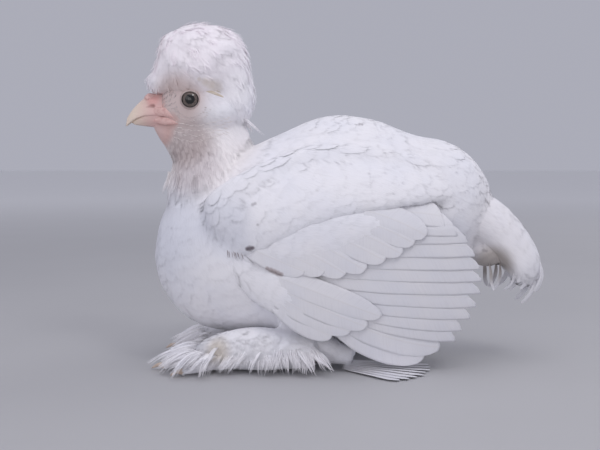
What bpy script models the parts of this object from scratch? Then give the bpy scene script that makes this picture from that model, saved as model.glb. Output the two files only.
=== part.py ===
"""Young sultan chicken, crouching, as a still life-size model.

The bird faces -X, with +Z up and the floor at Z = 0. Its left side is towards -Y.
Sizes are in millimetres and become metres where each mesh is made.
"""

import itertools
import math

import bmesh
import bpy
import numpy as np
from mathutils import Matrix

# Driving dimensions, in millimetres.
MM = 0.001
GAP = 0.3
ORIGIN_SHIFT = np.array([-0.8, 0.0, 0.0])
VANE_THICK = 0.6
LOCK_THICK = 0.8

# Rings along each loft, and points round a ring.
TRUNK_MESH, HEAD_MESH, NECK_MESH = (14, 24), (10, 16), (7, 16)
BILL_POINTS = 8

# The trunk along X: x, height of its widest line, rise above it, drop below it, half width.
TRUNK = [
    (-112.0, 66.0, 4.0, 4.0, 4.0),
    (-109.0, 67.0, 18.0, 17.0, 17.0),
    (-102.0, 68.0, 34.0, 31.0, 27.0),
    (-88.0, 68.0, 48.0, 44.0, 37.0),
    (-66.0, 68.0, 59.0, 50.0, 44.0),
    (-38.0, 70.0, 70.0, 56.0, 47.0),
    (-6.0, 74.0, 78.5, 60.0, 47.5),
    (22.0, 78.0, 72.5, 61.0, 45.0),
    (48.0, 86.0, 55.0, 58.0, 39.0),
    (70.0, 95.0, 41.0, 44.0, 31.0),
    (86.0, 101.0, 23.0, 27.0, 21.0),
    (94.0, 103.0, 9.0, 10.0, 9.0),
]
# The neck upwards: z, x of its middle, half length, half width.
NECK = [
    (98.0, -79.0, 26.0, 29.0),
    (110.0, -78.0, 26.5, 28.0),
    (118.0, -77.0, 25.5, 26.0),
    (127.0, -76.5, 24.5, 21.5),
    (136.0, -79.0, 27.0, 18.0),
    (144.0, -81.5, 27.5, 14.5),
    (154.0, -81.0, 18.0, 9.0),
]
# The head along X, in the trunk's columns.
HEAD = [
    (-109.0, 155.0, 6.0, 6.0, 4.8),
    (-106.5, 155.5, 11.5, 11.5, 8.0),
    (-101.0, 157.0, 17.5, 18.0, 12.4),
    (-94.0, 158.5, 22.0, 22.0, 15.8),
    (-84.0, 159.5, 24.0, 23.5, 17.4),
    (-72.0, 159.0, 23.5, 23.5, 17.0),
    (-64.0, 158.0, 19.0, 20.5, 14.5),
    (-58.0, 157.0, 12.0, 14.0, 9.5),
    (-55.0, 156.5, 5.0, 6.0, 5.0),
]
# The bill along X: x, top, bottom, half width.
UPPER_BILL = [
    (-100.0, 164.6, 152.3, 8.4),
    (-107.0, 165.4, 152.4, 8.0),
    (-113.0, 165.0, 152.4, 7.2),
    (-118.0, 162.6, 151.9, 6.1),
    (-122.5, 158.8, 150.5, 4.8),
    (-126.2, 154.6, 148.3, 3.4),
    (-128.8, 150.6, 146.2, 1.9),
]
UPPER_BILL_TIP = (-129.8, 0.0, 145.4)
LOWER_BILL = [
    (-99.0, 151.8, 144.0, 7.6),
    (-108.0, 151.9, 144.4, 7.0),
    (-115.0, 151.6, 145.2, 5.9),
    (-120.0, 150.4, 145.8, 4.4),
    (-124.0, 148.8, 146.4, 2.6),
]
LOWER_BILL_TIP = (-126.2, 0.0, 147.8)
NOSTRIL, NOSTRIL_HALF = (-113.5, -7.0, 158.8), (2.8, 1.7, 0.9)
COMB, COMB_HALF = (-111.5, 0.0, 165.8), (4.2, 3.6, 2.8)

# The eyeball, the ring of the lids and how far that stands out from the eyeball's middle.
EYE = (-88.0, -12.8, 161.0)
EYE_RADIUS = 6.6
LID_RING, LID_THICK, LID_OUT = 5.5, 1.1, 3.9


def hermite(stations, at):
    """The columns of stations after the first, smoothly interpolated at each value of the first."""
    table = np.array(stations, float)
    x, values = table[:, 0], table[:, 1:]
    slope = np.gradient(values, x, axis=0)
    index = np.clip(np.searchsorted(x, at, side="right") - 1, 0, len(x) - 2)
    span = (x[index + 1] - x[index])[:, None]
    t = ((np.asarray(at) - x[index])[:, None]) / span
    low, high = values[index], values[index + 1]
    start, end = slope[index] * span, slope[index + 1] * span
    return (
        (2 * t**3 - 3 * t**2 + 1) * low
        + (t**3 - 2 * t**2 + t) * start
        + (3 * t**2 - 2 * t**3) * high
        + (t**3 - t**2) * end
    )


def closed_tube(rings, first=None, last=None):
    """Vertices and triangles of the closed surface through rings of points, ending on two points."""
    count = len(rings[0])
    first = np.mean(rings[0], axis=0) if first is None else np.array(first, float)
    last = np.mean(rings[-1], axis=0) if last is None else np.array(last, float)
    verts = np.vstack([np.vstack(rings), first, last])
    faces = []
    for r in range(len(rings) - 1):
        for k in range(count):
            a, b = r * count + k, r * count + (k + 1) % count
            c, d = a + count, b + count
            faces += [(a, b, d), (a, d, c)]
    top, end = len(verts) - 2, len(verts) - 1
    base = (len(rings) - 1) * count
    for k in range(count):
        following = (k + 1) % count
        faces += [(top, following, k), (end, base + k, base + following)]
    return outward(verts, np.array(faces))


def outward(verts, faces):
    """The same surface with its faces pointing out."""
    volume = np.linalg.det(verts[faces]).sum()
    return verts, faces if volume > 0 else faces[:, ::-1]


def mirrored(shape):
    """The same shape on the bird's other side."""
    verts, faces = shape
    return verts * (1, -1, 1), faces[:, ::-1]


def add_right(left, name):
    """A copy of a left part on the bird's right side."""
    mesh = left.data.copy()
    mesh.name = name
    mesh.transform(Matrix.Diagonal((1, -1, 1, 1)))
    mesh.flip_normals()
    made = bpy.data.objects.new(name, mesh)
    bpy.context.scene.collection.objects.link(made)


def add(name, shape, material):
    """A mesh object of one closed shape, given in millimetres."""
    verts, faces = shape
    mesh = bpy.data.meshes.new(name)
    mesh.from_pydata(((verts + ORIGIN_SHIFT) * MM).tolist(), [], faces.tolist())
    mesh.validate()
    mesh.materials.append(material)
    made = bpy.data.objects.new(name, mesh)
    bpy.context.scene.collection.objects.link(made)
    return made


def apply_boolean(target, shapes, operation, solver):
    """Joins or cuts target with the shapes, and removes them."""
    helpers = bpy.data.collections.new("helpers")
    bpy.context.scene.collection.children.link(helpers)
    material = target.data.materials[0]
    for number, shape in enumerate(shapes):
        piece = add(f"helper_{number}", shape, material)
        bpy.context.scene.collection.objects.unlink(piece)
        helpers.objects.link(piece)
    modifier = target.modifiers.new(operation, "BOOLEAN")
    modifier.operation = operation
    modifier.operand_type = "COLLECTION"
    modifier.collection = helpers
    modifier.solver = solver
    graph = bpy.context.evaluated_depsgraph_get()
    result = bpy.data.meshes.new_from_object(target.evaluated_get(graph))
    target.modifiers.clear()
    old, target.data = target.data, result
    bpy.data.meshes.remove(old)
    for piece in list(helpers.objects):
        mesh = piece.data
        bpy.data.objects.remove(piece)
        bpy.data.meshes.remove(mesh)
    bpy.data.collections.remove(helpers)


def keep_largest(target):
    """Leaves only the closed surface of target that holds the most."""
    mesh = bmesh.new()
    mesh.from_mesh(target.data)
    bmesh.ops.triangulate(mesh, faces=mesh.faces[:])
    groups, seen = [], set()
    for start in mesh.verts:
        if start in seen:
            continue
        seen.add(start)
        group, waiting = [], [start]
        while waiting:
            vertex = waiting.pop()
            group.append(vertex)
            for edge in vertex.link_edges:
                other = edge.other_vert(vertex)
                if other not in seen:
                    seen.add(other)
                    waiting.append(other)
        groups.append(group)

    def held(group):
        faces = {face for vertex in group for face in vertex.link_faces}
        return sum(f.verts[0].co.dot(f.verts[1].co.cross(f.verts[2].co)) for f in faces)

    groups.sort(key=held)
    loose = [vertex for group in groups[:-1] for vertex in group]
    bmesh.ops.delete(mesh, geom=loose, context="VERTS")
    mesh.to_mesh(target.data)
    mesh.free()


def fuse(target, shapes, solver="EXACT"):
    apply_boolean(target, shapes, "UNION", solver)
    keep_largest(target)


def cut(target, shapes, solver="EXACT"):
    apply_boolean(target, shapes, "DIFFERENCE", solver)
    keep_largest(target)


def finish_material(name, colour, roughness):
    material = bpy.data.materials.new(name)
    material.use_nodes = True
    shader = material.node_tree.nodes["Principled BSDF"]
    shader.inputs["Base Color"].default_value = (*colour, 1.0)
    shader.inputs["Roughness"].default_value = roughness
    shader.inputs["Metallic"].default_value = 0.0
    return material


def even(low, high, count, ends=0.0):
    """Values from low to high; ends above 0 sets them closer together at both ends."""
    share = np.linspace(0, 1, count)
    rounded = (1 - np.cos(math.pi * share)) / 2
    return low + (high - low) * ((1 - ends) * share + ends * rounded)


def body_loft(stations, mesh_size, grow=0.0, poke=1.5):
    """A loft along X through upright rings, egg-shaped above and below their widest line."""
    rings, points = mesh_size
    places = even(stations[0][0], stations[-1][0], rings, 0.6)
    angle = np.arange(points) * 2 * math.pi / points
    made = []
    for x, (z, rise, drop, width) in zip(places, hermite(stations, places)):
        height = np.where(np.cos(angle) > 0, rise + grow, drop + grow)
        made.append(
            np.column_stack(
                [
                    np.full(points, x),
                    (width + grow) * np.sin(angle),
                    z + height * np.cos(angle),
                ]
            )
        )
    first = (places[0] - poke - grow, 0, stations[0][1])
    last = (places[-1] + poke + grow, 0, stations[-1][1])
    return closed_tube(made, first, last)


def neck_loft(grow=0.0):
    rings, points = NECK_MESH
    places = even(NECK[0][0], NECK[-1][0], rings)
    angle = np.arange(points) * 2 * math.pi / points
    made = [
        np.column_stack(
            [
                x + (length + grow) * np.cos(angle),
                (width + grow) * np.sin(angle),
                np.full(points, z),
            ]
        )
        for z, (x, length, width) in zip(places, hermite(NECK, places))
    ]
    return closed_tube(made)


def bill_loft(stations, tip, arched_up, grow=0.0):
    """Half of the bill: flat on the mouth's side and arched on the other."""
    angle = np.linspace(0, math.pi, BILL_POINTS)
    made = []
    for x, top, bottom, width in stations:
        height = top - bottom + 2 * grow
        rise = height * np.sin(angle) ** 0.8
        y = (width + grow) * np.cos(angle)
        z = bottom - grow + rise if arched_up else top + grow - rise
        made.append(np.column_stack([np.full(BILL_POINTS, x), y, z]))
    base = (stations[0][0] + grow, 0, (stations[0][1] + stations[0][2]) / 2)
    tip = (tip[0] - grow, tip[1], tip[2])
    return closed_tube(made, base, tip)


def ball(centre, radii, rings=10, points=16):
    """An ellipsoid whose poles lie along Y."""
    angle = np.arange(points) * 2 * math.pi / points
    centre, radii = np.array(centre, float), np.array(radii, float)
    made = []
    for polar in np.linspace(0, math.pi, rings + 2)[1:-1]:
        ring = np.column_stack(
            [
                math.sin(polar) * np.cos(angle),
                np.full(points, -math.cos(polar)),
                math.sin(polar) * np.sin(angle),
            ]
        )
        made.append(centre + ring * radii)
    step = np.array([0, radii[1], 0])
    return closed_tube(made, centre - step, centre + step)


def strip(rings):
    """The closed surface of a thin band through rings of four points, split alike on its two faces."""
    verts = np.vstack(rings)
    faces = []
    for r in range(len(rings) - 1):
        for k in range(4):
            a, b = r * 4 + k, r * 4 + (k + 1) % 4
            c, d = a + 4, b + 4
            faces += [(a, b, c), (b, d, c)] if k == 2 else [(a, b, d), (a, d, c)]
    end = len(verts) - 4
    faces += [(3, 2, 1), (3, 1, 0), (end, end + 1, end + 2), (end, end + 2, end + 3)]
    return outward(verts, np.array(faces))


def unit(vectors):
    return vectors / np.linalg.norm(vectors, axis=-1, keepdims=True)


def vane(place, line, half_widths, depths, thickness, tilt=0.0):
    """A flat feather along a line drawn on a sheet.

    place gives the points of the sheet at a depth under it. The edge on the line's left is tilted deeper.
    """
    line, half = np.array(line, float), np.array(half_widths, float)[:, None]
    along = unit(np.gradient(line, axis=0))
    across = np.column_stack([-along[:, 1], along[:, 0]]) * half
    lean = tilt * half[:, 0]
    left, right = depths + lean, depths - lean
    edges = [
        place(line + across, left),
        place(line - across, right),
        place(line - across, right + thickness),
        place(line + across, left + thickness),
    ]
    return strip(np.stack(edges, axis=1))


def lock(spine, out, half_widths, thickness, lean=0.0):
    """A flat feather along a line in space, facing out; lean lifts the edge at its side."""
    spine, half = np.array(spine, float), np.array(half_widths, float)[:, None]
    along = unit(np.gradient(spine, axis=0))
    across = unit(np.cross(along, out))
    facing = np.cross(across, along)
    across, facing = unit(across + lean * facing), unit(facing - lean * across)
    under = facing * thickness
    edges = [spine + across * half, spine - across * half]
    return strip(np.stack([*edges, edges[1] - under, edges[0] - under], axis=1))


def ring_tube(centre, reach, thick, around=12, points=5):
    """A ring about an axis along Y."""
    turn = np.arange(around) * 2 * math.pi / around
    bend = np.arange(points) * 2 * math.pi / points
    radial = np.column_stack([np.cos(turn), np.zeros(around), np.sin(turn)])
    verts = []
    for direction in radial:
        verts.append(
            np.array(centre)
            + (reach + thick * np.cos(bend))[:, None] * direction
            + (thick * np.sin(bend))[:, None] * np.array([0, 1, 0])
        )
    faces = []
    for r in range(around):
        for k in range(points):
            a, b = r * points + k, r * points + (k + 1) % points
            c, d = (a + points) % (around * points), (b + points) % (around * points)
            faces += [(a, b, d), (a, d, c)]
    return outward(np.vstack(verts), np.array(faces))


def path_loft(path, half_sizes, points=12, side=None):
    """A tube along path with half sizes to each side and up; side fixes the sideways direction."""
    path = np.array(path, float)
    half_sizes = np.array(half_sizes, float)
    angle = np.arange(points) * 2 * math.pi / points
    along = np.gradient(path, axis=0)
    made = []
    for centre, direction, (wide, rise) in zip(path, along, half_sizes):
        direction = direction / np.linalg.norm(direction)
        across = np.cross(direction, (0, 0, 1)) if side is None else np.array(side, float)
        across /= np.linalg.norm(across)
        lifted = np.cross(across, direction)
        made.append(
            centre
            + wide * np.cos(angle)[:, None] * across
            + rise * np.sin(angle)[:, None] * lifted
        )
    return closed_tube(made)


def smooth_path(points, count):
    """Points along a smooth curve through the given ones."""
    share = np.linspace(0, 1, len(points))
    stations = np.column_stack([share, np.array(points, float)])
    return hermite(stations, np.linspace(0, 1, count))


RNG = np.random.default_rng(11)


# The wing's outer sheet: its distance from the bird's middle plane, greatest at SHEET_PEAK (x, z).
SHEET_OUT = 58.0
SHEET_PEAK = (5.0, 85.0)
SHEET_FALL = {"front": 0.0011, "rear": 0.0030, "top": 0.0108, "bottom": 0.0016, "rump": 0.0035}
# Depths under that sheet of the wing's layers and of their roots,
# and the share of a feather that dips to its root.
SCAPULAR_DEPTH, COVERT_DEPTH, FLIGHT_DEPTH, ROOT_DEPTH = 0.5, 2.7, 5.4, 12.0
ROOT_SHARE = 0.25
# The arm under the feathers: depth of its outer face in the lower half and at the upper edge,
# and how far its rim lies under that face and its inner face under the sheet.
CORE_DEPTHS = (7.4, 4.8)
CORE_RIM, CORE_BACK = 6.0, 22.0
CORE_RINGS, CORE_POINTS = 7, 6
# Along it: x, lower edge, upper edge.
WING_CORE = [
    (-74.0, 76.0, 90.0),
    (-66.0, 62.0, 99.0),
    (-50.0, 46.0, 110.0),
    (-30.0, 36.0, 123.0),
    (-8.0, 30.0, 126.0),
    (12.0, 38.0, 125.0),
    (26.0, 62.0, 121.0),
    (38.0, 88.0, 114.0),
]
# Each row of wing feathers from its top one down, seen from the side: roots and tips (x, z), how many,
# half width, sag of the first and last feather's line (upwards above 0), tilt.
FLIGHTS = (
    [(8, 93), (-16, 81), (-36, 71), (-34, 60), (-20, 50), (-4, 42)],
    [(62, 91), (79, 80), (87.5, 64), (87, 50), (80, 33), (68, 18), (51, 12)],
    10, 8.8, (3.0, -4.0), 0.12,
)
COVERTS = (
    [(0, 99), (-28, 88), (-56, 77)],
    [(50, 82), (33, 70), (8, 61), (-19, 62)],
    6, 8.0, (3.0, 0.0), 0.085,
)
HAND_COVERTS = (
    [(-52, 65), (-48, 57), (-41, 51)],
    [(24, 35), (12, 27), (-4, 23)],
    3, 7.0, (0.0, -3.0), 0.12,
)
SCAPULARS = (
    [(24, 118), (0, 121), (-24, 118), (-45, 108)],
    [(80, 107), (61, 98), (42, 90), (16, 88), (-14, 81)],
    6, 10.2, (2.0, 4.0), 0.07,
)
# Along a feather: share of its length, and of its half width there.
VANE_SHAPE = [(0.0, 0.5), (0.22, 0.88), (0.6, 1.0), (0.88, 0.8), (1.0, 0.28)]


def sheet(x, z):
    """How far out the wing's surface stands at a place seen from the side."""
    along, up = x - SHEET_PEAK[0], z - SHEET_PEAK[1]
    fall_along = np.where(along < 0, SHEET_FALL["front"], SHEET_FALL["rear"]) * along**2
    fall_up = np.where(up > 0, SHEET_FALL["top"], SHEET_FALL["bottom"]) * up**2
    rump = SHEET_FALL["rump"] * np.maximum(along, 0) * np.maximum(up, 0)
    return SHEET_OUT - fall_along - fall_up - rump


def wing_place(points, depth):
    x, z = points.T
    return np.column_stack([x, depth - sheet(x, z), z])


def wing_core():
    """The arm and hand under the wing's feathers, reaching into the trunk."""
    places = even(WING_CORE[0][0], WING_CORE[-1][0], CORE_RINGS, 0.4)
    share = even(0, 1, CORE_POINTS, 0.3)
    made = []
    for number, (x, (low, high)) in enumerate(zip(places, hermite(WING_CORE, places))):
        rim = CORE_RIM * (1 - np.sqrt(np.clip(1 - (2 * share - 1) ** 2, 0, 1)))
        if number in (0, len(places) - 1):
            rim = rim + CORE_RIM / 2
        face = np.column_stack([np.full(CORE_POINTS, x), low + (high - low) * share])
        outer = wing_place(face, np.interp(share, (0.5, 1.0), CORE_DEPTHS) + rim)
        inner = wing_place(np.array([(x, high), (x, low)]), np.full(2, CORE_BACK))
        made.append(np.vstack([outer, inner]))
    return closed_tube(made)


def wing_row(row, depth, root_depth):
    """A row of overlapping feathers on the wing's sheet."""
    roots, tips, count, half_width, sags, tilt = row
    share, width = np.array(VANE_SHAPE).T
    depths = depth + (root_depth - depth) * np.clip(1 - share / ROOT_SHARE, 0, 1)
    ends = zip(smooth_path(roots, count), smooth_path(tips, count), np.linspace(*sags, count))
    made = []
    for root, tip, sag in ends:
        step = tip - root
        aside = unit(np.array([-step[1], step[0]]))
        line = root + share[:, None] * step + (sag * 4 * share * (1 - share))[:, None] * aside
        made.append(vane(wing_place, line, half_width * width, depths, VANE_THICK, tilt))
    return made


def wing_feathers():
    return (
        wing_row(FLIGHTS, FLIGHT_DEPTH, ROOT_DEPTH)
        + wing_row(COVERTS, COVERT_DEPTH, ROOT_DEPTH)
        + wing_row(HAND_COVERTS, COVERT_DEPTH, ROOT_DEPTH)
        + wing_row(SCAPULARS, SCAPULAR_DEPTH, ROOT_DEPTH)
    )


# The tail's middle line (x, z) and the radius of the half tube that its feathers lie on.
TAIL_LINE = [(72, 96), (92, 84), (105, 70), (112, 57), (112.5, 47), (106, 38)]
TAIL_RADIUS = [21.0, 20.0, 19.0, 18.0, 16.5, 14.0]
TAIL_LENGTH = 82.0
# The tail's stump: share of the length, and how much its radius differs from the feathers'.
TAIL_STUMP = [(0.0, 3.0), (0.2, 3.0), (0.3, 0.0), (0.42, -6.0), (0.55, -11.0)]
# The stiff feathers and the shorter ones over them: how many, angle between two, half width,
# depth, first and last share of the length, how much shorter the outermost is.
TAIL_FEATHERS = (9, 21.0, 5.8, 1.6, 0.14, 1.0, 0.22)
TAIL_COVERTS = (5, 27.0, 6.4, -2.0, 0.14, 0.6, 0.08)
# How much deeper the others lie than the middle one, how much deeper all are at the root, and the tilt.
TAIL_STEP, TAIL_ROOT_SINK, TAIL_TILT = 1.2, 3.5, 0.28


def tail_frame(share):
    """Middle, upward direction and radius of the tail at shares of its length."""
    stations = np.linspace(0, 1, len(TAIL_LINE))
    table = np.column_stack([stations, TAIL_LINE, TAIL_RADIUS])
    x, z, radius = hermite(table, share).T
    ahead = hermite(table, np.clip(share + 0.01, 0, 1)) - hermite(table, np.clip(share - 0.01, 0, 1))
    ahead = unit(ahead[:, :2])
    middle = np.column_stack([x, np.zeros(len(x)), z])
    return middle, np.column_stack([-ahead[:, 1], np.zeros(len(x)), ahead[:, 0]]), radius


def tail_place(points, depth):
    """Points given along and across the tail, both in millimetres."""
    middle, up, radius = tail_frame(points[:, 0] / TAIL_LENGTH)
    angle = points[:, 1] / radius
    reach = (radius - depth)[:, None]
    sideways = np.sin(angle)[:, None] * np.array([0, 1, 0])
    return middle + reach * (np.cos(angle)[:, None] * up + sideways)


def tail_row(row):
    count, spacing, half_width, depth, first, last, shorter = row
    made = []
    share, width = np.array(VANE_SHAPE).T
    for number in range(count):
        place = number - (count - 1) / 2
        side = abs(place) * 2 / (count - 1)
        end = last - shorter * side**2 + RNG.uniform(-0.02, 0.02)
        along = first + (end - first) * share
        angle = math.radians(spacing) * place
        across = angle * tail_frame(along)[2]
        depths = depth + TAIL_STEP * (place != 0) + TAIL_ROOT_SINK * np.clip(1 - share / ROOT_SHARE, 0, 1)
        tilt = -TAIL_TILT * np.sign(place)
        line = np.column_stack([along * TAIL_LENGTH, across])
        made.append(vane(tail_place, line, half_width * width, depths, VANE_THICK, tilt))
    return made


def tail_stump():
    share, more = np.array(TAIL_STUMP).T
    middle, up, radius = tail_frame(share)
    angle = np.arange(12) * 2 * math.pi / 12
    made = []
    for centre, upward, reach in zip(middle, up, radius + more):
        sideways = np.sin(angle)[:, None] * np.array([0, 1, 0])
        made.append(centre + reach * (np.cos(angle)[:, None] * upward + sideways))
    return closed_tube(made)


# The crest: the dome its tips reach, the solid dome that they grow from, and the slope under that.
CREST = (-82.5, 0.0, 171.5)
CREST_REACH = (34.0, 27.5, 40.0)
CREST_CORE = (27.0, 21.5, 25.5)
CREST_SQUARE = 2.3
CREST_EDGE = [(-90.0, 173.0), (-48.0, 150.0)]
# Angle from the top down to the crest's lower edge, in front, at the side and behind.
CREST_SPREAD = (86.0, 97.0, 122.0)
# Each ring of locks: where its roots stand between the top and the edge, and how many.
CREST_RINGS = [(0.02, 4), (0.17, 7), (0.34, 9), (0.51, 11), (0.68, 13)]
# How far down a lock runs, how far its roots are sunk in the core, how much it turns backwards.
CREST_LOCK_SPAN, CREST_ROOT, CREST_TURN = 0.34, 0.88, 0.28
CREST_HALF_WIDTH = 4.7
LOCK_SHAPE = [(0.0, 0.7), (0.35, 1.0), (0.7, 0.85), (1.0, 0.15)]


def crest_direction(down, around):
    """Unit vectors at shares of the way down to the crest's edge, at angles around from the front."""
    front, side, back = CREST_SPREAD
    even_part, twofold = (front + back + 2 * side) / 4, (front + back - 2 * side) / 4
    spread = even_part + (front - back) / 2 * np.cos(around) + twofold * np.cos(2 * around)
    angle = np.radians(spread) * down
    return np.column_stack(
        [-np.sin(angle) * np.cos(around), -np.sin(angle) * np.sin(around), np.cos(angle)]
    )


def crest_reach(directions, radii, power):
    """Distance from the crest's centre to a rounded dome, along each direction."""
    return (np.abs(directions / np.array(radii)) ** power).sum(axis=1) ** (-1 / power)


def crest_underside():
    """A block whose sloping top is the crest's lower edge."""
    (front, front_z), (back, back_z) = CREST_EDGE
    slope = (back_z - front_z) / (back - front)
    verts, faces = box((-160.0, -60.0, 60.0), (0.0, 60.0, 100.0))
    top = verts[:, 2] > 80
    verts[top, 2] = front_z + slope * (verts[top, 0] - front)
    return verts, faces


def crest_locks():
    share, width = np.array(LOCK_SHAPE).T
    made = []
    for ring, (down, count) in enumerate(CREST_RINGS):
        for number in range(count):
            start = 2 * math.pi * (number + ring % 2 / 2) / count + RNG.uniform(-0.08, 0.08)
            span = CREST_LOCK_SPAN * RNG.uniform(0.9, 1.08)
            around = start + share * CREST_TURN * math.sin(start)
            directions = crest_direction(down + span * share, around)
            low = crest_reach(directions, CREST_CORE, 2.0) * CREST_ROOT
            high = crest_reach(directions, CREST_REACH, CREST_SQUARE) * RNG.uniform(0.96, 1.0)
            rise = np.sin(share * math.pi / 2) ** (0.75 + 0.25 * down)
            spine = np.array(CREST) + directions * (low + (high - low) * rise)[:, None]
            made.append(lock(spine, directions, CREST_HALF_WIDTH * width, LOCK_THICK))
    return made


# The ruff's rings of locks: height of their roots, how many, length.
RUFF_RINGS = [(138.0, 8, 24.0), (126.0, 10, 25.0)]
RUFF_HALF_WIDTH = 5.2
# How deep their roots are sunk in the neck, how far their tips stand off it in front and behind,
# how much shorter they are behind, and how far they keep off the trunk.
RUFF_ROOT, RUFF_FLARE, RUFF_FLARE_BEHIND, RUFF_SHORTER, RUFF_CLEAR = 3.0, 6.4, 9.0, 0.5, 1.6


def off_trunk(points, clear):
    """The points, with those nearer the trunk than clear moved straight out from its long middle."""
    inside = (points[:, 0] > TRUNK[0][0]) & (points[:, 0] < TRUNK[-1][0])
    middle, rise, drop, width = hermite(TRUNK, np.clip(points[:, 0], TRUNK[0][0], TRUNK[-1][0])).T
    up = points[:, 2] - middle
    height = np.where(up > 0, rise, drop) + clear
    within = np.sqrt((points[:, 1] / (width + clear)) ** 2 + (up / height) ** 2)
    scale = np.where(inside, 1 / np.minimum(within, 1), 1)
    return np.column_stack([points[:, 0], points[:, 1] * scale, middle + up * scale])


def ruff_locks():
    share, width = np.array(LOCK_SHAPE).T
    made = []
    for ring, (top, count, length) in enumerate(RUFF_RINGS):
        for number in range(count):
            around = 2 * math.pi * (number + 0.5 * ring) / count + RNG.uniform(-0.05, 0.05)
            behind = max(math.cos(around), 0)
            z = top - length * RNG.uniform(0.9, 1.1) * (1 - RUFF_SHORTER * behind) * share
            x, half_length, half_width = hermite(NECK, z).T
            off = -RUFF_ROOT + RUFF_FLARE * share**0.5 + RUFF_FLARE_BEHIND * share * behind
            spine = np.column_stack(
                [x + (half_length + off) * math.cos(around), (half_width + off) * math.sin(around), z]
            )
            spine = off_trunk(spine, RUFF_CLEAR)
            out = np.tile([math.cos(around), math.sin(around), 0.6], (len(share), 1))
            made.append(lock(spine, out, RUFF_HALF_WIDTH * width, LOCK_THICK))
    return made


# The left leg, from its knee under the flank to the heel and on to the toes' root; Y is negative.
KNEE, HEEL, PALM = (-34.0, -24.0, 24.0), (4.0, -29.0, 9.0), (-56.0, -30.0, 5.2)
TOE_RADIUS = 3.1
# Each toe: its end, and how high its middle passes. The fifth stands above the hind toe.
TOES = [
    ((-46.0, -13.0, 2.8), 3.2),
    ((-92.0, -16.0, 2.6), 4.2),
    ((-104.0, -31.0, 2.6), 4.4),
    ((-91.0, -48.0, 2.6), 4.2),
    ((-43.0, -14.0, 8.0), 8.5),
]
CLAW_LENGTH = 8.0
FLOOR = ((-220.0, -220.0, -60.0), (220.0, 220.0, 0.0))
# The feathered ridge along the outside of foot and shank, and its half sizes.
MUFF = [(-80, -27, 10), (-66, -32, 13), (-44, -37.5, 15), (-14, -38.5, 13)]
MUFF_HALF = [(5, 6), (8, 9.5), (7, 11), (4.5, 8)]
# Its feathers from the front one round to the hindmost: root (x, y, z), heading in degrees from +X, length.
FRINGE = [
    (-76, -25, 13, 168, 30),
    (-74, -31, 16, 196, 34),
    (-66, -36, 20, 226, 30),
    (-50, -40, 23, 252, 25),
    (-30, -42, 22, 276, 22),
    (-14, -41, 18, 296, 20),
]
FRINGE_COUNT = 10
FRINGE_HALF_WIDTH = 4.8
# How far its roots are sunk, how high its tips lie, and how much one edge is lifted.
FRINGE_ROOT, FRINGE_REST, FRINGE_LEAN = 4.0, 1.7, 0.15
# The hocks' long stiff feathers, from the outer one at the bottom of the stack to the inner one.
HOCK_COUNT = 7
HOCK_HEADINGS = (-48.0, 10.0)
HOCK_LENGTHS = (46.0, 54.0)
HOCK_SHAPE = [(0.0, 0.55), (0.3, 0.9), (0.6, 1.0), (0.85, 0.8), (1.0, 0.25)]
HOCK_HALF_WIDTH, HOCK_LEAN = 4.6, 0.1
# Height of the lowest one's root, of each next one over it, and of the tips.
HOCK_LOW, HOCK_STACK, HOCK_REST = 1.2, 1.2, 1.4


def box(low, high):
    sides = zip(low, high)
    verts = np.array(list(itertools.product(*sides)), float)
    quads = [(0, 1, 3, 2), (4, 6, 7, 5), (0, 4, 5, 1), (2, 3, 7, 6), (0, 2, 6, 4), (1, 5, 7, 3)]
    faces = [t for a, b, c, d in quads for t in ((a, b, c), (a, c, d))]
    return outward(verts, np.array(faces))


def thigh_loft(grow=0.0):
    path = smooth_path([KNEE, (-16.0, -27.0, 18.0), (0.0, -28.5, 10.0)], 6)
    sizes = np.column_stack([even(13.0, 8.0, 6), even(13.0, 7.0, 6)]) + grow
    sizes[0] *= 0.6
    sizes[-1] *= 0.5
    return path_loft(path, sizes, 12)


def shank_loft(grow=0.0):
    path = smooth_path([(HEEL[0] + 5, HEEL[1], 8.0), HEEL, (-26.0, -30.0, 9.5), PALM], 7)
    sizes = np.column_stack([even(6.5, 6.0, 7), even(7.5, 5.5, 7)]) + grow
    sizes[0] *= 0.6
    return path_loft(path, sizes, 10)


def toe_path(number):
    end, middle = TOES[number]
    start = np.array(PALM) + (0, 0, 2.5 if number == 4 else -1.5)
    halfway = (start + np.array(end)) / 2
    halfway[2] = middle
    return smooth_path([start, halfway, end], 5)


def toe_loft(number, grow=0.0):
    radii = even(TOE_RADIUS * 1.15, TOE_RADIUS * 0.75, 5) + grow
    return path_loft(toe_path(number), np.column_stack([radii, radii]), 6)


def claw_loft(number, grow=0.0):
    path = toe_path(number)
    ahead = path[-1] - path[-2]
    ahead[2] = 0 if number < 4 else 2.0
    ahead /= np.linalg.norm(ahead)
    base = path[-1] - ahead * 0.8
    line = [base, base + ahead * CLAW_LENGTH * 0.5 + (0, 0, 0.6), base + ahead * CLAW_LENGTH + (0, 0, -1.4)]
    radii = np.array([1.9, 1.5, 1.0, 0.4]) + grow
    return path_loft(smooth_path(line, 4), np.column_stack([radii * 0.8, radii]), 6)


def palm_ball(grow=0.0):
    return ball(PALM, (8.5 + grow, 7.0 + grow, 5.8 + grow), 5, 8)


def heading(degrees):
    return np.array([math.cos(math.radians(degrees)), math.sin(math.radians(degrees)), 0.0])


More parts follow.
